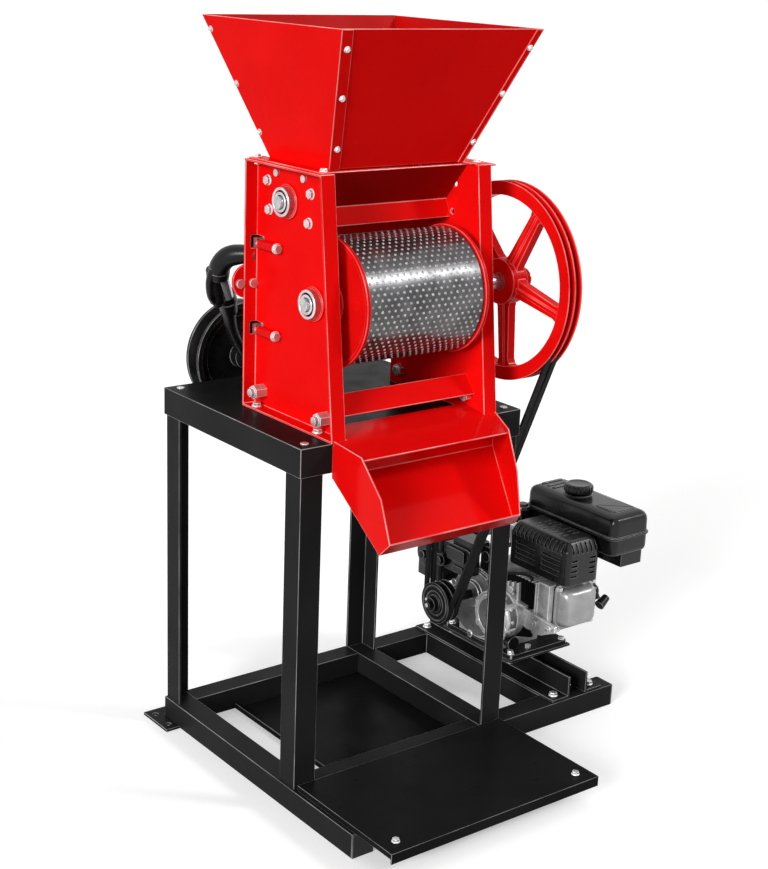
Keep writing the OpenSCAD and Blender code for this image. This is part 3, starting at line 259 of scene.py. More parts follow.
CAST_RED = finish("red_castings", (0.66, 0.0032, 0.0032), (0.76, 0.0050, 0.0046),
                  (0.24, 0.38), specular=0.04, drift=14, grain=230, bump=0.20, bump_mm=0.7)
# Lighter red for the rounded edges of the castings: a painted highlight.
CAST_RED_HIGHLIGHT = finish("red_castings_edge_highlight", (0.84, 0.026, 0.024), (0.93, 0.17, 0.155),
                   (0.24, 0.34), specular=0.5, drift=20, grain=300, bump=0.1)
BLACK = finish("black_enamel", (0.0095, 0.0095, 0.0098), (0.0160, 0.0160, 0.0163),
               (0.36, 0.48), specular=0.035, drift=4, grain=900, bump=0.10, bump_mm=0.25)
# Lighter grey for the rounded edges of the black enamel: a painted highlight.
BLACK_HIGHLIGHT = finish("black_enamel_edge_highlight", (0.060, 0.060, 0.062), (0.300, 0.300, 0.302),
                    (0.30, 0.42), specular=0.5, drift=14, grain=600, bump=0.1)
TREAD = finish("black_tread", (0.0060, 0.0060, 0.0062), (0.0100, 0.0100, 0.0102),
               (0.26, 0.40), specular=0.018, drift=6, grain=300, bump=0.05, bump_mm=0.3)
BLACK_CAST = finish("black_casting", (0.0045, 0.0045, 0.0047), (0.0090, 0.0090, 0.0092),
                    (0.22, 0.38), specular=0.20, drift=22, grain=320, bump=0.24, bump_mm=0.5)
# Lighter grey for the rounded edges of the black castings: a painted highlight.
BLACK_CAST_HIGHLIGHT = finish("black_casting_edge_highlight", (0.060, 0.060, 0.061), (0.300, 0.300, 0.302),
                   (0.26, 0.38), specular=0.5, drift=40, grain=300, bump=0.2)
PLASTIC = finish("black_plastic", (0.0045, 0.0045, 0.0047), (0.0075, 0.0075, 0.0077),
                 (0.16, 0.28), specular=0.22, drift=16, grain=1400, bump=0.08, bump_mm=0.15,
                 coat=0.17)
# Lighter grey for the rounded edges of the black plastic: a painted highlight.
PLASTIC_HIGHLIGHT = finish("black_plastic_edge_highlight", (0.050, 0.050, 0.051), (0.160, 0.160, 0.161),
                      (0.24, 0.34), specular=0.6, drift=20, grain=1400, bump=0.1)
GUARD = finish("guard_enamel", (0.0060, 0.0060, 0.0062), (0.0105, 0.0105, 0.0107),
               (0.20, 0.32), specular=0.26, drift=20, grain=800, bump=0.10, bump_mm=0.3, coat=0.17)
RUBBER = finish("belt_rubber", (0.0055, 0.0055, 0.0057), (0.0105, 0.0105, 0.0106),
                (0.60, 0.78), specular=0.16, drift=30, grain=1700, bump=0.35, bump_mm=0.3,
                stretch=(3, 1, 1))
DRUM = finish("drum_steel", (0.05, 0.05, 0.052), (0.13, 0.13, 0.133), (0.22, 0.32), metal=0.8,
              drift=24, grain=60, bump=0.12, bump_mm=0.2, stretch=(14, 0.5, 0.5),
              grime=(0.07, 0.066, 0.062))
BURR = finish("burr_steel", (0.26, 0.26, 0.265), (0.50, 0.50, 0.505), (0.24, 0.36), metal=0.7,
              drift=90, grain=900, bump=0.1, bump_mm=0.15)
STEEL = finish("bright_steel", (0.40, 0.41, 0.42), (0.60, 0.61, 0.62), (0.18, 0.32),
               metal=0.9, drift=30, grain=70, bump=0.08, bump_mm=0.2, stretch=(12, 1, 1),
               grime=(0.20, 0.19, 0.18))
# Lighter steel for rounded edges: a painted highlight.
STEEL_HIGHLIGHT = finish("bright_steel_edge_highlight", (0.80, 0.80, 0.81), (0.92, 0.92, 0.93),
                    (0.16, 0.26), metal=0.6, drift=30, grain=500, bump=0.05)
ZINC = finish("zinc_plating", (0.48, 0.48, 0.49), (0.70, 0.70, 0.70), (0.16, 0.28),
              metal=0.68, drift=60, grain=900, bump=0.10, bump_mm=0.15,
              grime=(0.30, 0.28, 0.24))
# Lighter zinc for rounded edges: a painted highlight.
ZINC_HIGHLIGHT = finish("zinc_plating_edge_highlight", (0.80, 0.80, 0.80), (0.95, 0.95, 0.95), (0.20, 0.30),
                   metal=0.2, drift=60, grain=900, bump=0.05)
ALLOY = finish("cast_alloy", (0.42, 0.42, 0.425), (0.66, 0.66, 0.665), (0.30, 0.44),
               metal=0.45, drift=28, grain=520, bump=0.28, bump_mm=0.4,
               grime=(0.07, 0.068, 0.066))
# Lighter alloy for rounded edges: a painted highlight.
ALLOY_HIGHLIGHT = finish("cast_alloy_edge_highlight", (0.65, 0.65, 0.66), (0.90, 0.90, 0.91), (0.24, 0.36),
                    metal=0.4, drift=28, grain=400, bump=0.1)
COVER = finish("cover_face", (0.13, 0.13, 0.133), (0.19, 0.19, 0.193), (0.26, 0.38),
               metal=0.35, drift=18, grain=900, bump=0.1, bump_mm=0.2)
PRESSED = finish("pressed_alloy", (0.30, 0.30, 0.305), (0.42, 0.42, 0.425), (0.26, 0.40),
                 metal=0.40, drift=18, grain=900, bump=0.08, bump_mm=0.2)
MUFFLER = finish("muffler_steel", (0.06, 0.057, 0.054), (0.13, 0.12, 0.11), (0.40, 0.62),
                 metal=0.9, drift=26, grain=500, bump=0.25, bump_mm=0.4,
                 grime=(0.10, 0.055, 0.03))
IRON = finish("turned_iron", (0.0040, 0.0040, 0.0042), (0.0075, 0.0075, 0.0077), (0.34, 0.48),
              specular=0.06, drift=22, grain=320, bump=0.2, bump_mm=0.4)
# Near black: painted shadow in the bearing grooves, at the bores' ends and in the crankcase's
# hollows, and the real colour of the valve cover's gasket.
SHADOW_AND_GASKET_BLACK = finish("painted_shadow_and_gasket", (0.0020, 0.0020, 0.0020), (0.0050, 0.0050, 0.0050),
              (0.70, 0.85), specular=0.05, drift=20, grain=300)
# Each finish with the lighter copy its rounded edges take: a painted highlight.
EDGE_HIGHLIGHTS = {RED: RED_HIGHLIGHT, RED_GLOSS: RED_HIGHLIGHT, RED_THROAT_PAINTED_SHADE: RED_HIGHLIGHT, CAST_RED: CAST_RED_HIGHLIGHT,
         BLACK: BLACK_HIGHLIGHT, TREAD: BLACK_HIGHLIGHT, BLACK_CAST: BLACK_CAST_HIGHLIGHT, IRON: BLACK_CAST_HIGHLIGHT,
         PLASTIC: PLASTIC_HIGHLIGHT, GUARD: PLASTIC_HIGHLIGHT, STEEL: STEEL_HIGHLIGHT, ZINC: ZINC_HIGHLIGHT,
         ALLOY: ALLOY_HIGHLIGHT, PRESSED: ALLOY_HIGHLIGHT, COVER: ALLOY_HIGHLIGHT}


# Shapes

def set_frame(axis, origin, hint=(0, 0, 1)):
    """A frame whose Z runs along axis, and whose X is as near to hint as it can be."""
    z = Vector(axis).normalized()
    x = Vector(hint)
    x = (x - z * x.dot(z)).normalized()
    place = Matrix((x, z.cross(x), z)).transposed().to_4x4()
    place.translation = Vector(origin)
    return place


def along_x(x, y, z):
    """A frame whose Z runs along the machine's X, and whose X runs along its Y."""
    return set_frame((1, 0, 0), (x, y, z), (0, 1, 0))


def circle(radius, steps, z=0.0):
    """Points of a circle round Z."""
    angles = [TURN * i / steps for i in range(steps)]
    return [(radius * math.cos(a), radius * math.sin(a), z) for a in angles]


class Shape:
    """Faces collected in millimetres, which then become one piece."""

    def __init__(self):
        self.points = []
        self.faces = []

    def add(self, points, faces, place=None):
        """Adds points, moved by place, and the faces between them."""
        start = len(self.points)
        if place is None:
            self.points += [Vector(p) for p in points]
        else:
            self.points += [place @ Vector(p) for p in points]
        self.faces += [[start + i for i in face] for face in faces]
        return self

    def loft(self, rings, place=None, loop=False):
        """A skin over rings of the same number of points, closed by caps or onto itself."""
        count = len(rings[0])
        spans = len(rings) if loop else len(rings) - 1
        faces = []
        for ring in range(spans):
            low = ring * count
            high = (ring + 1) % len(rings) * count
            for i in range(count):
                j = (i + 1) % count
                faces.append([low + i, low + j, high + j, high + i])
        if not loop:
            faces.append(list(range(count))[::-1])
            faces.append([spans * count + i for i in range(count)])
        return self.add([p for ring in rings for p in ring], faces, place)

    def prism(self, outline, low, high, place=None):
        """An outline drawn out from one height to another."""
        return self.loft([[(x, y, z) for x, y in outline] for z in (low, high)], place)

    def lathe(self, profile, place=None, steps=64):
        """Turns a closed profile of (radius, height) round the frame's Z axis."""
        rings = []
        for step in range(steps):
            turn = TURN * step / steps
            rings.append([(r * math.cos(turn), r * math.sin(turn), z) for r, z in profile])
        return self.loft(rings, place, loop=True)

    def rod(self, a, b, radius, end_radius=None, steps=24):
        """A round bar from a to b, which tapers where it has an end_radius."""
        a, b = Vector(a), Vector(b)
        last = radius if end_radius is None else end_radius
        rings = [circle(radius, steps), circle(last, steps, (b - a).length)]
        hint = (0, 0, 1) if abs((b - a).normalized().z) < 0.9 else (1, 0, 0)
        return self.loft(rings, set_frame(b - a, a, hint))

    def block(self, low, high):
        """A box between two corners."""
        outline = [(low[0], low[1]), (high[0], low[1]), (high[0], high[1]), (low[0], high[1])]
        return self.prism(outline, low[2], high[2])

    def pad(self, width, depth, radius, x, y, levels, place=None):
        """A block with rounded corners round x, y; levels are its (height, inset) upwards."""
        rings = layers(lambda inset: rounded(width - 2 * inset, depth - 2 * inset, radius, x, y),
                       levels)
        return self.loft(rings, place)


def link(obj):
    """Puts an object into the scene."""
    bpy.context.scene.collection.objects.link(obj)
    return obj


def soften(obj, bevel, segments=2, angle=32):
    """Rounds the edges of a piece, with a lighter copy of its finish on them as a painted highlight,
    and keeps flat faces flat.
    """
    if bevel:
        mod = obj.modifiers.new("bevel", "BEVEL")
        mod.width = bevel * MM
        mod.segments = segments
        mod.limit_method = "ANGLE"
        mod.angle_limit = math.radians(angle)
        mod.use_clamp_overlap = False
        mod.miter_outer = "MITER_ARC"
        # The bevel's faces take a lighter copy of the finish: a painted highlight along the edges.
        edge = EDGE_HIGHLIGHTS.get(obj.data.materials[0])
        if edge:
            obj.data.materials.append(edge)
            mod.material = 1
    normals = obj.modifiers.new("normals", "WEIGHTED_NORMAL")
    normals.keep_sharp = True


def cut(obj, holes):
    """Takes the shape of holes out of a piece for good, before its edges are rounded."""
    tool = bpy.data.meshes.new("tool")
    tool.from_pydata([p * MM for p in holes.points], [], holes.faces)
    work = bmesh.new()
    work.from_mesh(tool)
    bmesh.ops.recalc_face_normals(work, faces=work.faces)
    work.to_mesh(tool)
    work.free()
    cutter = link(bpy.data.objects.new("tool", tool))
    mod = obj.modifiers.new("cut", "BOOLEAN")
    mod.operation = "DIFFERENCE"
    mod.solver = "EXACT"
    mod.object = cutter
    bpy.context.view_layer.update()
    depsgraph = bpy.context.evaluated_depsgraph_get()
    result = bpy.data.meshes.new_from_object(obj.evaluated_get(depsgraph))
    obj.modifiers.clear()
    obj.data = result
    bpy.data.objects.remove(cutter)


def piece(name, shape, material, body, bevel=0.5, replaces=(), clean=True, holes=None,
          angle=32):
    """Makes one object of a shape, rounds its edges and lets it ride on a body."""
    mesh = bpy.data.meshes.new(name)
    mesh.from_pydata([p * MM for p in shape.points], [], shape.faces)
    if clean:
        work = bmesh.new()
        work.from_mesh(mesh)
        bmesh.ops.remove_doubles(work, verts=work.verts, dist=0.002 * MM)
        bmesh.ops.dissolve_degenerate(work, edges=work.edges, dist=0.001 * MM)
        bmesh.ops.recalc_face_normals(work, faces=work.faces)
        work.to_mesh(mesh)
        work.free()
    mesh.materials.append(material)
    obj = link(bpy.data.objects.new(name, mesh))
    if holes:
        cut(obj, holes)
    obj.data.shade_smooth()
    soften(obj, bevel, angle=angle)
    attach(obj, body)
    if replaces:
        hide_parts(*replaces)
    return obj


def dress(node, material, bevel, segments):
    """Gives a CAD node its finish, and rounds its edges with modifiers."""
    obj = frame["nodes"][node]
    obj.data.materials.clear()
    obj.data.materials.append(material)
    weld = obj.modifiers.new("weld", "WELD")
    weld.merge_threshold = 0.01 * MM
    planar = obj.modifiers.new("planar", "DECIMATE")
    planar.decimate_type = "DISSOLVE"
    planar.angle_limit = math.radians(0.6)
    soften(obj, bevel, segments)


def rounded(width, depth, radius, x=0.0, y=0.0, steps=5):
    """Outline of a rectangle with rounded corners round the point x, y."""
    points = []
    for corner, (side, end) in enumerate(((1, 1), (-1, 1), (-1, -1), (1, -1))):
        middle = (x + side * (width / 2 - radius), y + end * (depth / 2 - radius))
        for step in range(steps + 1):
            turn = TURN * (corner + step / steps) / 4
            points.append((middle[0] + radius * math.cos(turn),
                           middle[1] + radius * math.sin(turn)))
    return points


def layers(outline, levels):
    """Rings at each (height, inset) of levels, for a shape with a rounded outline function."""
    return [[(x, y, height) for x, y in outline(inset)] for height, inset in levels]


# Drum

_, DRUM_Y, DRUM_Z = joint_at("drum_spin")
DRUM_LOW, DRUM_HIGH = box_of("drum_shell")
DRUM_HALF = DRUM_HIGH[0]
DRUM_R = DRUM_Z - DRUM_LOW[2]


def drum_sleeve():
    """Pierced sleeve: rows of raised burrs, each with its little opening."""
    wall = 3
    rows = 70
    pitch = 14.9
    end_room = 5
    plain_end = 6
    side_play = 0.35
    steps = 12
    burr = [(3.3, -0.4), (2.8, 0.2), (2.2, 0.75), (1.7, 1.15), (1.3, 1.2), (1.0, 0.8),
            (0.9, 0.1)]
    random.seed(7)
    inner = DRUM_R - wall
    shape = Shape().lathe([(DRUM_R, -DRUM_HALF), (DRUM_R, DRUM_HALF), (inner, DRUM_HALF),
                           (inner, -DRUM_HALF)], along_x(0, DRUM_Y, DRUM_Z), 180)
    burrs = Shape()
    count = int(2 * (DRUM_HALF - end_room) / pitch)
    for row in range(rows):
        turn = TURN * row / rows
        out = Vector((0, math.cos(turn), math.sin(turn)))
        shift = pitch / 4 if row % 2 else -pitch / 4
        for column in range(count + 1):
            x = (column - count / 2) * pitch + shift + random.uniform(-side_play, side_play)
            if abs(x) > DRUM_HALF - plain_end:
                continue
            lean = random.uniform(-0.06, 0.06)
            spot = Vector((x, DRUM_Y, DRUM_Z)) + out * DRUM_R
            axis = out + Vector((lean, 0, random.uniform(-0.05, 0.05)))
            size = random.uniform(0.93, 1.07)
            rings = [circle(r * size, steps, z * size) for r, z in burr]
            burrs.loft(rings, set_frame(axis, spot, (1, 0, 0)))
    piece("drum_sleeve", shape, DRUM, "drum", 0, clean=False,
          replaces=["drum_shell"])
    piece("drum_burrs", burrs, BURR, "drum", 0, clean=False)


# Bearings, slots and rear arm

BEARINGS = ((*joint_at("drum_spin")[1:], "drum"), (*joint_at("feeder_spin")[1:], "feeder"))


def bearings():
    """Bearing faces: a sleeve on the boss, painted shadow in its groove, an inner ring, and painted
    shadow at the bore's end.
    """
    seat = 166
    shaft_end = 200.6
    bore_r, bore_depth = 8.4, 3
    rings, grooves = Shape(), Shape()
    for side in (-1, 1):
        for y, z, _ in BEARINGS:
            place = set_frame((side, 0, 0), (0, y, z), (0, 1, 0))
            rings.lathe([(22.6, seat), (28.5, seat), (28.5, 193.4), (27, 195), (23.6, 195),
                         (22.6, 193.8)], place)
            rings.lathe([(13.2, seat), (19.4, seat), (19.4, 195.4), (18.2, 196.6), (14.6, 196.6),
                         (13.2, 195)], place)
            grooves.lathe([(19.2, seat), (22.8, seat), (22.8, 189.5), (19.2, 189.5)], place)
    piece("bearing_rings", rings, STEEL, "machine", clean=False,
          replaces=["bearing_inserts"])
    # The groove between the rings is a ring of painted shadow.
    piece("bearing_groove_shadows", grooves, SHADOW_AND_GASKET_BLACK, "machine", 0)
    # At each shaft's end a dark disc stands for the bore: painted shadow.
    for y, z, body in BEARINGS:
        bores = Shape()
        for side in (-1, 1):
            hidden = body == "drum" and side > 0
            if not hidden:
                place = set_frame((side, 0, 0), (0, y, z), (0, 1, 0))
                bores.lathe([(0.4, shaft_end - bore_depth), (bore_r, shaft_end - bore_depth),
                             (bore_r, shaft_end), (0.4, shaft_end)], place, 32)
        piece("shaft_centre_shadows_" + body, bores, SHADOW_AND_GASKET_BLACK, body, 0)


def slot_seals():
    """Rubber plates that close the slots of the breast plate's bars from behind."""
    near, far = 157, 184
    height, corner = 38, 5
    seals = Shape()
    for side in (-1, 1):
        for z in (907, 1078):
            outline = rounded(far - near, height, corner, side * (near + far) / 2, z)
            seals.prism(outline, -61.6, -58.2, Matrix.Rotation(math.radians(90), 4, "X"))
    piece("slot_seals", seals, RUBBER, "machine")


def tube(shape, points, radii, steps=20):
    """A smooth round bar along points, with a radius at each."""
    rings = []
    for i, point in enumerate(points):
        before = points[max(i - 1, 0)]
        after = points[min(i + 1, len(points) - 1)]
        along = (Vector(after) - Vector(before)).normalized()
        place = set_frame(along, point, (0.02, 0.3, 1))
        rings.append([tuple(place @ Vector(p)) for p in circle(radii[i], steps)])
    shape.loft(rings)


def curve(points, steps=6):
    """Points on a smooth line through the points given."""
    line = []
    last = len(points) - 1
    for i in range(last):
        a, b = Vector(points[i]), Vector(points[i + 1])
        before = Vector(points[max(i - 1, 0)])
        after = Vector(points[min(i + 2, last)])
        for step in range(steps):
            t = step / steps
            line.append(0.5 * (2 * a + (b - before) * t + (2 * before - 5 * a + 4 * b - after) * t * t
                               + (3 * a - before - 3 * b + after) * t ** 3))
    line.append(Vector(points[-1]))
    return line


def rear_arm():
    """Cast elbow from the bracket, its fork beside a bright pin, and the leg to the axle."""
    wheel_x, _, wheel_z = joint_at("wheel_spin")
    hub_front, hub_back = 258, 286
    elbow = curve([(-168, 62, 1049), (-190, 92, 1047), (-203, 116, 1038), (-209, 132, 1020),
                   (-206, 143, 1004)])
    cheek = curve([(-222, 136, 1014), (-222, 150, 985), (-208, 166, 950), (-180, 184, 928)])
    leg = curve([(-146, 200, 912), (-118, 232, 862), (-80, 260, 812),
                 (wheel_x, (hub_front + hub_back) / 2, wheel_z)])
    arm = Shape()
    tube(arm, elbow, [17 + 4 * min(1, 3 * i / len(elbow)) for i in range(len(elbow))])
    arm.rod((-207, 140, 1010), (-203, 147, 994), 22.5, 21)
    tube(arm, cheek, [8 + i / (len(cheek) - 1) for i in range(len(cheek))])
    arm.rod((-216, 148, 1010), (-186, 178, 938), 15, 17)
    arm.rod((-168, 178, 952), (-159, 186, 936), 19, 21)
    arm.rod((-159, 186, 936), (-143, 203, 907), 21, 18)
    tube(arm, leg, [16 - 4 * math.sin(math.pi * i / (len(leg) - 1)) for i in range(len(leg))])
    arm.rod((wheel_x, hub_front, wheel_z), (wheel_x, hub_back, wheel_z), 24, 23, 40)
    piece("arm_casting", arm, BLACK_CAST, "machine", 0.9, clean=False,
          replaces=["rear_arm"])
    pin = Shape().rod((-200, 143, 1003), (-168, 170, 946), 12.5, steps=28)
    pin.rod((-198, 144.5, 999), (-196, 146.5, 995), 15, steps=28)
    piece("arm_pin", pin, ZINC, "machine", 0.8, clean=False)


# Hopper and table: each hopper size is a width, then where the front and the back stand in Y

HOPPER_LOW_Z = box_of("hopper_front")[0][2]
HOPPER_RISE = 257
HOPPER_LOW = (323, -158.4, 30.4)
HOPPER_TOP = (464, -285, 165)
HOPPER_SHEET = 2.5
FOLDS = {"left": 25, "right": 16}


def side_frame(turn, reach, lean):
    """The frame of a leaning side: x along it, y up its slope, z out of it."""
    return (Matrix.Rotation(math.radians(turn), 4, "Z")
            @ Matrix.Translation((0, -reach, HOPPER_LOW_Z))
            @ Matrix.Rotation(math.radians(90 + lean), 4, "X"))


def paint_inside_shade(obj):
    """Gives the faces that look into the hopper a darker, duller red: painted shade."""
    obj.data.materials.append(RED_PAINTED_SHADE)
    inside = len(obj.data.materials) - 1
    axis = Vector((0, (HOPPER_TOP[1] + HOPPER_TOP[2]) / 2 * MM, 0))
    for face in obj.data.polygons:
        inward = axis - face.center
        inward.z = 0
        if face.normal.dot(inward.normalized()) > 0.5 and face.normal.z > 0.1:
            face.material_index = inside


def hopper_panel(name, shape):
    """One panel of the hopper in place of the CAD's."""
    paint_inside_shade(piece("hopper_panel_" + name, shape, RED, "machine", 0.9,
                        replaces=["hopper_" + name]))


def hopper_ends():
    """The front and the back panel, which stand between the side panels."""
    low_w, low_front, low_back = HOPPER_LOW
    top_w, top_front, top_back = HOPPER_TOP
    inset = HOPPER_SHEET + 1
    for name, turn, reach, out in (("front", 0, -low_front, low_front - top_front),
                                   ("back", 180, low_back, top_back - low_back)):
        lean = math.degrees(math.atan2(out, HOPPER_RISE))
        slope = math.hypot(out, HOPPER_RISE)
        low, top = low_w / 2 - inset, top_w / 2 - inset
        hopper_panel(name, Shape().prism([(-low, 0), (low, 0), (top, slope), (-top, slope)],
                                         -HOPPER_SHEET, 0, side_frame(turn, reach, lean)))


def hopper_sides():
    """The left and the right panel, which fold round the ends and stand on flat feet."""
    low_w, low_front, low_back = HOPPER_LOW
    top_w, top_front, top_back = HOPPER_TOP
    t = HOPPER_SHEET
    over = t * 1.3
    drop = 1.5
    fold_gap = 0.3
    foot_end, foot_over, foot_z = 194, 26, box_of("hopper_left")[0][2]
    side_out = (top_w - low_w) / 2
    side_lean = math.degrees(math.atan2(side_out, HOPPER_RISE))
    side_slope = math.hypot(side_out, HOPPER_RISE)
    for side, name in ((-1, "left"), (1, "right")):
        panel = Shape().prism([(side * (low_front - over), -drop), (side * (low_back + over), -drop),
                               (side * (top_back + over), side_slope),
                               (side * (top_front - over), side_slope)],
                              -t, 0, side_frame(90 * side, low_w / 2, side_lean))
        for hand, turn, reach, out in ((side, 0, -low_front, low_front - top_front),
                                       (-side, 180, low_back, top_back - low_back)):
            lean = math.degrees(math.atan2(out, HOPPER_RISE))
            rise = math.hypot(out, HOPPER_RISE)
            low = hand * (low_w / 2 - fold_gap)
            high = hand * (top_w / 2 - fold_gap)
            wide = hand * FOLDS[name]
            panel.prism([(low - wide, 0), (low, 0), (high, rise), (high - wide, rise)], 0, t,
                        side_frame(turn, reach, lean))
        inner, outer = sorted((side * (low_w / 2 - t), side * foot_end))
        panel.block((inner, low_front - foot_over, foot_z), (outer, low_back + foot_over, foot_z + t))
        hopper_panel(name, panel)


def edge_bolts():
    """Small round headed bolts on the left side, near its back edge."""
    low_w, _, low_back = HOPPER_LOW
    top_w, _, top_back = HOPPER_TOP
    edge_room = 6
    bolts = Shape()
    for share in (0.18, 0.52, 0.90):
        x = -(low_w + (top_w - low_w) * share) / 2
        y = low_back + (top_back - low_back) * share - edge_room
        z = HOPPER_LOW_Z + HOPPER_RISE * share
        place = set_frame((-HOPPER_RISE, 0, -(top_w - low_w) / 2), (x, y, z), (0, 1, 0))
        bolts.loft([circle(6.4, 20, -1), circle(6.4, 20, 1.2), circle(5, 20, 1.6),
                    circle(4.6, 20, 4), circle(2.6, 20, 5.4)], place)
    piece("hopper_edge_bolts", bolts, ZINC, "machine", 0.3)


def table():
    """Folded sheet with its skirt, and the shine of its top."""
    low, high = box_of("table_top")
    width, depth = high[0] - low[0], high[1] - low[1]
    sheet_t = 4
    corners = ((0.5, 0.5), (-0.5, 0.5), (-0.5, -0.5), (0.5, -0.5))
    sheet = Shape().loft([[(x * (width - inset), y * (depth - inset), z) for x, y in corners]
                          for inset, z in ((2 * sheet_t, high[2] - sheet_t), (2 * sheet_t, low[2]),
                                           (0, low[2]), (0, high[2]))])
    piece("table_sheet", sheet, BLACK, "machine", 1.2, replaces=["table_top"])
    top = Shape().loft([[(x, y, high[2] + lift)
                         for x, y in rounded(width - inset, depth - inset, 2, steps=3)]
                        for lift, inset in ((-0.4, 4), (0.1, 4), (0.3, 5))])
    piece("table_gloss", top, TREAD, "machine", 0)


# Engine: tank, cap, guard and valve cover

CAP_X, CAP_Y, _ = joint_at("cap_turn")


def middle_of(low, high):
    """Middle of a box, seen from above."""
    return (low[0] + high[0]) / 2, (low[1] + high[1]) / 2


def tank():
    """Moulded fuel tank with its seam, the raised collar of the filler and a moulded step."""
    low, high = box_of("fuel_tank")
    seam = 4
    width, depth = high[0] - low[0] - 2 * seam, high[1] - low[1] - 2 * seam
    middle = middle_of(low, high)

    def outline(inset):
        return rounded(width - 2 * inset, depth - 2 * inset, max(17 - inset * 0.6, 5), *middle)

    collar_r, collar_t = 34, 4
    body = Shape().loft(layers(outline, [
        (364, 7), (366, 3), (370, 1), (376, 0), (400, 0), (403, 0), (404, -3.5), (408.5, -3.5),
        (409.5, 0), (438, 0.6), (446, 2.6), (451, 6), (454.5, 11), (456.6, 17), (457.6, 26)]))
    for height in (452.5, 456.5):
        body.lathe([(0.5, height), (collar_r, height), (collar_r - 1.5, height + collar_t),
                    (0.5, height + collar_t)],
                   Matrix.Translation((CAP_X, CAP_Y, 0)), 48)
    pad_x = middle[0] + 1
    body.pad(70, 62, 8, pad_x, -196, [(450, 0), (458, 0), (460.2, 2.5)])
    for y in (-24, -6, 12):
        body.pad(62, 7, 3, pad_x, y, [(452, 0), (459, 0), (460, 1.4)])
    body.block((608, -242, 332), (672, -162, 372))
    piece("tank_shell", body, PLASTIC, "machine", 0.8, clean=False,
          replaces=["fuel_tank"])


def cap():
    """Fuel cap with a grip all round and a dished top."""
    ribs = 22
    rib_steps = 6
    count = ribs * rib_steps
    stem_r = 15
    rings = []
    for height, radius, grip in ((464.4, 31, 1.5), (466, 32.5, 2.6), (477, 32.5, 2.6),
                                 (480.5, 31, 1.6), (483, 27.5, 0), (483.2, 24, 0),
                                 (481.8, 21, 0), (481.8, 8, 0)):
        ring = []
        for step in range(count):
            wave = (0.5 + 0.5 * math.cos(TURN * step / rib_steps)) ** 0.6
            angle = TURN * step / count
            reach = radius + grip * (wave - 0.5)
            ring.append((CAP_X + reach * math.cos(angle), CAP_Y + reach * math.sin(angle), height))
        rings.append(ring)
    shape = Shape().loft(rings)
    shape.rod((CAP_X, CAP_Y, 447), (CAP_X, CAP_Y, 466), stem_r)
    piece("cap_grip", shape, PLASTIC, "cap", 0, clean=False,
          replaces=["fuel_cap"])


def guard_slots(low, high):
    """Slots round the guard's shoulder, louvres below them, and the openings of its top."""
    slot, through, out = 5, 12, 1
    slot_low, slot_high = low[2] + 71, low[2] + 94
    side_slots, side_first, side_pitch = 13, 17, 13.2
    end_slots, end_first, end_pitch = 6, 16, 13.4
    louvres, louvre_first, louvre_pitch, louvre = 4, 18, 12, 4.5
    top_middle, top_pitch, top_slot, top_reach = 91, 15, 3, 44
    top_low, top_high = high[2] - 4, high[2] + out
    holes = Shape()
    for i in range(side_slots):
        y = low[1] + side_first + i * side_pitch
        for x in (low[0] - out, high[0] + out - through):
            holes.block((x, y, slot_low), (x + through, y + slot, slot_high))
    for i in range(end_slots):
        x = low[0] + end_first + i * end_pitch
        for y in (low[1] - out, high[1] + out - through):
            holes.block((x, y, slot_low), (x + slot, y + through, slot_high))
    for row in range(louvres):
        z = low[2] + louvre_first + row * louvre_pitch
        for first, last in ((24, 82), (102, 166)):
            holes.block((low[0] - out, low[1] + first, z),
                        (low[0] + slot, low[1] + last, z + louvre))
        for first, last in ((13, 33), (68, 88)):
            holes.block((low[0] + first, low[1] - out, z),
                        (low[0] + last, low[1] + slot, z + louvre))
    for i in (-3, -2, -1, 1, 2, 3):
        y = low[1] + top_middle + i * top_pitch
        inset = 20 + 7 * abs(i) / 3
        holes.block((low[0] + inset, y, top_low), (low[0] + top_reach, y + top_slot, top_high))
        holes.block((high[0] - top_reach, y, top_low), (high[0] - inset, y + top_slot, top_high))
    x, y = middle_of(low, high)
    ring_r, hole_r, hole_back = 9, 2.6, 2
    for i in range(6):
        turn = TURN * i / 6
        spot = (x + ring_r * math.cos(turn), y - hole_back + ring_r * math.sin(turn))
        holes.rod((*spot, top_low), (*spot, top_high + out), hole_r, steps=12)
    return holes


def guard():
    """Muffler guard: a deep pressed cover with slots round its shoulder and louvres below."""
    low, high = box_of("muffler_guard")
    width, depth = high[0] - low[0], high[1] - low[1]
    middle = middle_of(low, high)

    def outline(inset):
        return rounded(width - 2 * inset, depth - 2 * inset, max(14 - inset * 0.5, 4), *middle)

    shell = Shape().loft(layers(outline, [
        (405.5, 19), (399.5, 12), (386, 3.4), (380, 2.5), (308, 2.5), (308, 0), (312, 0),
        (384, 0), (388, 0.8), (401, 9), (405, 11.5), (407.4, 15), (408, 19)]))
    piece("guard_shell", shell, GUARD, "machine", 0.7,
          holes=guard_slots(low, high), replaces=["muffler_guard"], angle=40)


COVER_LOW, COVER_HIGH = box_of("valve_cover")
COVER_W, COVER_H = COVER_HIGH[0] - COVER_LOW[0], COVER_HIGH[2] - COVER_LOW[2]
COVER_PLACE = (Matrix.Translation(((COVER_LOW[0] + COVER_HIGH[0]) / 2, COVER_HIGH[1],
                                   (COVER_LOW[2] + COVER_HIGH[2]) / 2))
               @ Matrix.Rotation(math.radians(90), 4, "X"))


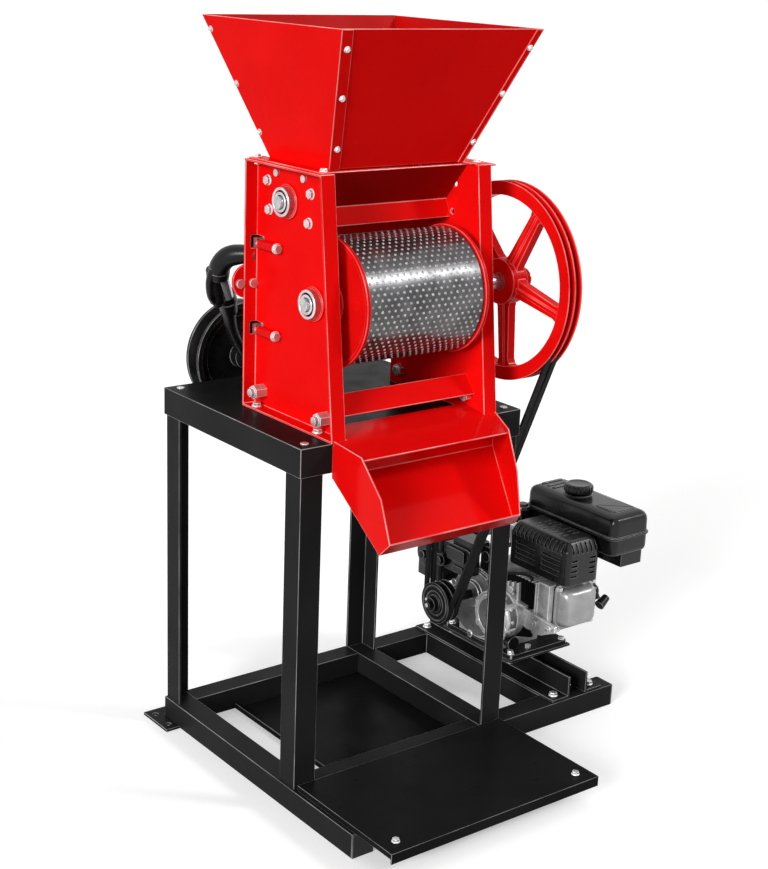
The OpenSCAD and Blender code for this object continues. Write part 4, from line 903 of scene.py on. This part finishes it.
def valve_cover():
    """Pressed cover with a round shouldered crown, its flange and four bolts."""
    step = 16
    cover = Shape()
    cover.pad(COVER_W, COVER_H, 12, 0, 0, [(0, 1), (0.8, 0), (6, 0), (7.5, 1.5)], COVER_PLACE)
    cover.pad(COVER_W - step, COVER_H - step, 16, 0, 0,
              [(6, 0), (15, 0.8), (24, 2.4), (30, 6), (33.6, 11), (35.4, 17), (36, 25)],
              COVER_PLACE)
    piece("valve_crown", cover, PRESSED, "machine", 0.6, clean=False,
          replaces=["valve_cover"], angle=50)
    bolts = Shape()
    across, up = 50.5, 47.5
    seat, tip = 6, 16
    for side in (-1, 1):
        for end in (-1, 1):
            low = COVER_PLACE @ Vector((side * across, end * up, seat))
            high = COVER_PLACE @ Vector((side * across, end * up, tip))
            bolts.rod(low, low + (high - low) * 0.25, 7.5, steps=20)
            bolts.rod(low, high, 5.2, steps=6)
    piece("valve_bolts", bolts, ZINC, "machine", 0.6, clean=False)


# Engine: castings, leads and boxes. Outlines are (y, z) as the engine's left side shows them

LEFT_SIDE = along_x(0, 0, 0)
LOBE_Y, LOBE_Z = -72, 206
LOBE_BOLT_R = 49
PLATE_BOLTS = ((-159, 207), (-206, 210), (-116, 216))
SPARK_X, SPARK_Y = 446, -133


def ring_of_spots(count, radius, first=0.0):
    """Evenly spaced (y, z) spots on a ring round the lobe's middle."""
    turns = [TURN * (i + first) / count for i in range(count)]
    return [(LOBE_Y + radius * math.cos(turn), LOBE_Z + radius * math.sin(turn)) for turn in turns]


def casting_plate():
    """Foot of the crankcase with its bosses, and the bolt heads of this side."""
    plate = Shape()
    outline = [(-104, 236), (-128, 231), (-152, 227), (-176, 224), (-206, 222), (-222, 219),
               (-224, 206), (-206, 198), (-182, 186), (-160, 180), (-140, 182), (-120, 190),
               (-104, 200)]
    plate.prism(outline, 436, 445, LEFT_SIDE)
    for y, z in PLATE_BOLTS:
        plate.rod((431, y, z), (437, y, z), 9)
    piece("casting_plate", plate, ALLOY, "machine", 1.2, clean=False)
    heads = Shape()
    for y, z in PLATE_BOLTS:
        heads.rod((427, y, z), (431.2, y, z), 5, steps=6)
    for y, z in ring_of_spots(6, LOBE_BOLT_R, 0.4):
        heads.rod((380, y, z), (384.4, y, z), 4.6, steps=6)
    for x in (478, 424):
        heads.rod((x, -99, 112), (x, -99, 122), 7.5, steps=6)
    piece("engine_bolt_heads", heads, ZINC, "machine", 0.6, clean=False)


def lobe():
    """Round cover of the shaft: its rim with bolt bosses and short ribs, and its face."""
    place = along_x(0, LOBE_Y, LOBE_Z)
    rim = Shape().lathe([(41, 384.3), (41, 380.6), (44, 380), (47, 380.6), (49, 383), (54, 383.4),
                         (57, 386), (57, 392), (54.5, 394), (54.5, 384.3)], place)
    for y, z in ring_of_spots(6, LOBE_BOLT_R, 0.4):
        rim.rod((381.6, y, z), (411, y, z), 9.5, steps=20)
    rib_x = 398
    for inner, outer in zip(ring_of_spots(12, 53), ring_of_spots(12, 58.5)):
        rim.rod((rib_x, *inner), (rib_x, *outer), 4, steps=12)
    piece("lobe_rim", rim, ALLOY, "machine", 0.7, clean=False)
    face = Shape().lathe([(0.5, 384.3), (0.5, 382.4), (30, 382.4), (32, 381.6), (41.2, 381.6),
                          (41.2, 384.3)], place)
    piece("lobe_face", face, COVER, "machine", 0.7)


def casting_ribs():
    """Painted shadow in the hollows of the crankcase, with the ribs and bosses that cross them."""
    recess = Shape()
    recess.prism([(-148, 236), (-30, 246), (-30, 296), (-148, 296)], 432, 441, LEFT_SIDE)
    recess.prism([(-150, 170), (-112, 158), (-84, 150), (-84, 176), (-112, 184), (-150, 186)],
                 434, 442, LEFT_SIDE)
    # The hollows are dark plates of painted shadow.
    piece("casting_recess_shadow", recess, SHADOW_AND_GASKET_BLACK, "machine", 0)
    ribs = Shape()
    for i in range(6):
        y = -34 - i * 16
        ribs.prism([(y, 244), (y + 6, 244), (y + 9, 272 + 3 * i), (y + 2, 274 + 3 * i)],
                   424, 434, LEFT_SIDE)
    ribs.prism([(-140, 238), (-22, 246), (-22, 252), (-140, 244)], 420, 436, LEFT_SIDE)
    for y, z in ((-48, 262), (-92, 268)):
        ribs.rod((418, y, z), (434, y, z), 8, steps=20)
    piece("casting_ribs", ribs, ALLOY, "machine", 0.8, clean=False)


def spark_plug():
    """Ribbed plug with its stem."""
    ribs, pitch, low = 7, 6, 250
    place = Matrix.Translation((SPARK_X, SPARK_Y, 0))
    plug = Shape()
    for i in range(ribs):
        z = low + i * pitch
        plug.lathe([(2, z), (6, z), (9, z + 2), (9, z + 3.4), (6, z + 5.4), (2, z + 5.4)], place, 24)
    plug.rod((SPARK_X, SPARK_Y, 240), (SPARK_X, SPARK_Y, 296), 5)
    piece("spark_plug", plug, STEEL, "machine", 0, clean=False)


def leads():
    """Plug lead, hoses and wires, each a smooth line of one thickness."""
    shape = Shape()
    for radius, points in (
            (3.6, [(SPARK_X, SPARK_Y, 294), (446, -128, 304), (440, -104, 306), (424, -60, 296),
                   (420, -8, 290), (424, 40, 288)]),
            (2.6, [(436, -60, 292), (424, -66, 262), (422, -84, 236), (430, -104, 214)]),
            (3.0, [(430, -20, 300), (410, -30, 270), (398, -34, 244), (396, -8, 232)]),
            (5.0, [(560, 20, 372), (548, 14, 352), (520, 10, 330), (500, 14, 322)])):
        line = curve(points)
        tube(shape, line, [radius] * len(line), 12)
    piece("engine_leads", shape, RUBBER, "machine", 0, clean=False)


def boxes():
    """Black boxes, plates and knobs behind the belts, and the breather's cap."""
    box = Shape()
    for width, height, corner, y, z, near, far in (
            (88, 66, 8, 34, 310, 364, 396), (60, 30, 5, 34, 322, 358, 366),
            (34, 16, 4, 26, 288, 360, 366), (76, 18, 4, 20, 352, 372, 416),
            (46, 58, 7, -26, 322, 404, 446)):
        box.prism(rounded(width, height, corner, y, z), near, far, LEFT_SIDE)
    box.rod((352, 78, 297), (366, 78, 297), 15, 16, 28)
    box.rod((346, 78, 297), (353, 78, 297), 9, steps=20)
    box.rod((396, -28, 330), (406, -28, 330), 13)
    box.block((410, -52, 286), (446, -6, 296))
    box.rod((352, 62, 226), (372, 70, 222), 12)
    piece("engine_boxes", box, PLASTIC, "machine", 1.2, clean=False)
    breather = Shape()
    x, y = 548, 22
    for low, high, low_r, high_r in ((372, 404, 19, 18), (404, 412, 22, 20), (412, 416, 13, 11)):
        breather.rod((x, y, low), (x, y, high), low_r, high_r, 32)
    piece("breather_cap", breather, PLASTIC, "machine", 1.0, clean=False)


def far_fittings():
    """Bracket, lever and nozzle past the valve cover."""
    bracket = Shape()
    bracket.rod((584, -176, 258), (602, -176, 258), 13)
    bracket.rod((596, -190, 240), (596, -160, 288), 8, steps=20)
    bracket.rod((598, -196, 226), (624, -192, 240), 12, 9, 20)
    bracket.block((586, -176, 262), (602, -150, 296))
    bracket.block((578, -140, 290), (600, -96, 352))
    piece("far_bracket", bracket, BLACK_CAST, "machine", 1.0, clean=False)
    nozzle = Shape()
    nozzle.rod((582, -172, 262), (592, -186, 258), 12, 10)
    nozzle.rod((590, -170, 246), (594, -184, 238), 6, 5, 16)
    piece("far_nozzle", nozzle, STEEL, "machine", 0.6, clean=False)


def foot_and_gasket():
    """Black foot under the crankcase, and the dark gasket behind the valve cover."""
    foot = Shape().prism(rounded(175, 231, 10, 500, 0), 105.9, 115.2)
    piece("mounting_foot", foot, BLACK, "machine", 0.8)
    over, half = 1.5, 1.2
    gasket = Shape()
    gasket.pad(COVER_W + 2 * over, COVER_H + 2 * over, 12, 0, 0, [(-half, 0), (half, 0)],
               COVER_PLACE)
    piece("cover_gasket", gasket, SHADOW_AND_GASKET_BLACK, "machine", 0)


def pulley_face():
    """Turned rings, a washer and a bolt on the near face of the engine's pulley."""
    low, high = box_of("engine_pulley")
    y, z = (low[1] + high[1]) / 2, (low[2] + high[2]) / 2
    place = along_x(0, y, z)
    face = Shape()
    for radius, crest in ((28, 282.6), (40, 282.8)):
        flat = crest + 0.6
        face.lathe([(radius - 2, 284.4), (radius - 2, flat), (radius, crest), (radius + 2, flat),
                    (radius + 2, 284.4)], place)
    face.rod((271, y, z), (283, y, z), 15, 17, 40)
    face.rod((262, y, z), (272, y, z), 8)
    piece("pulley_rings", face, IRON, "engine_output", 0.6, clean=False)
    bolt = Shape().rod((260.5, y, z), (263, y, z), 5, 4)
    screw_reach = 29
    bolt.rod((282, y + screw_reach, z), (284.5, y + screw_reach, z), 4, steps=6)
    piece("pulley_bolt", bolt, ZINC, "engine_output", 0.4, clean=False)


# Finishes of the CAD nodes that show: finish, bevel, its segments and the nodes

FINISHES = (
    (RED, 1.2, 2, ("side_plate_left", "side_plate_right", "throat_rear_plate",
                   "lower_deflector")),
    (RED_THROAT_PAINTED_SHADE, 1.2, 2, ("throat_front_plate",)),
    (RED_GLOSS, 1.2, 2, ("chute_cover", "chute_tray")),
    (CAST_RED, 1.4, 3, ("bearing_housings", "breast_adjusters", "drum_discs", "flywheel",
                        "rear_bracket")),
    (BLACK, 1.0, 2, ("leg_front_left", "leg_front_right", "leg_back_left", "leg_back_right",
                     "base_rail_left", "base_rail_right", "base_cross_rails", "engine_bearers",
                     "anchor_tabs", "step_bars", "engine_rails")),
    (TREAD, 0.9, 2, ("step_plate", "floor_tray")),
    (PLASTIC, 1.4, 3, ("tube_end_caps", "air_cleaner", "recoil_starter", "starter_handle",
                       "oil_filler_plugs", "throttle_lever")),
    (ZINC, 0.8, 2, ("stand_bolts", "housing_bolts", "hopper_bolts", "engine_bolts")),
    (STEEL, 0.5, 2, ("drum_shaft", "feed_roller", "rear_axle")),
    (STEEL, 0, 2, ("breast_plate",)),
    (BLACK_CAST, 0, 2, ("crankshaft",)),
    (ALLOY, 1.3, 2, ("crankcase", "cylinder", "carburettor")),
    (COVER, 1.6, 3, ("side_cover",)),
    (MUFFLER, 3, 3, ("muffler",)),
    (RUBBER, 0.5, 2, ("v_belts",)),
    (IRON, 0.7, 2, ("engine_pulley",)),
    (BLACK_CAST, 1.1, 2, ("rear_wheel",)),
)


camera()
world()
sun("key", (-0.88, -0.34, 0.30), strength=2.75, width=22)
sun("front", (0.59, -0.59, 0.55), strength=0.95, width=10)
sun("top", (0.15, 0.30, 0.94), strength=0.30, width=50)
sun("rim", (0.95, 0.10, 0.30), strength=0.3, width=30)
floor()
for material, bevel, segments, nodes in FINISHES:
    for node in nodes:
        dress(node, material, bevel, segments)
drum_sleeve()
bearings()
slot_seals()
rear_arm()
hopper_ends()
hopper_sides()
edge_bolts()
table()
tank()
cap()
guard()
valve_cover()
casting_plate()
lobe()
casting_ribs()
spark_plug()
leads()
boxes()
far_fittings()
foot_and_gasket()
pulley_face()
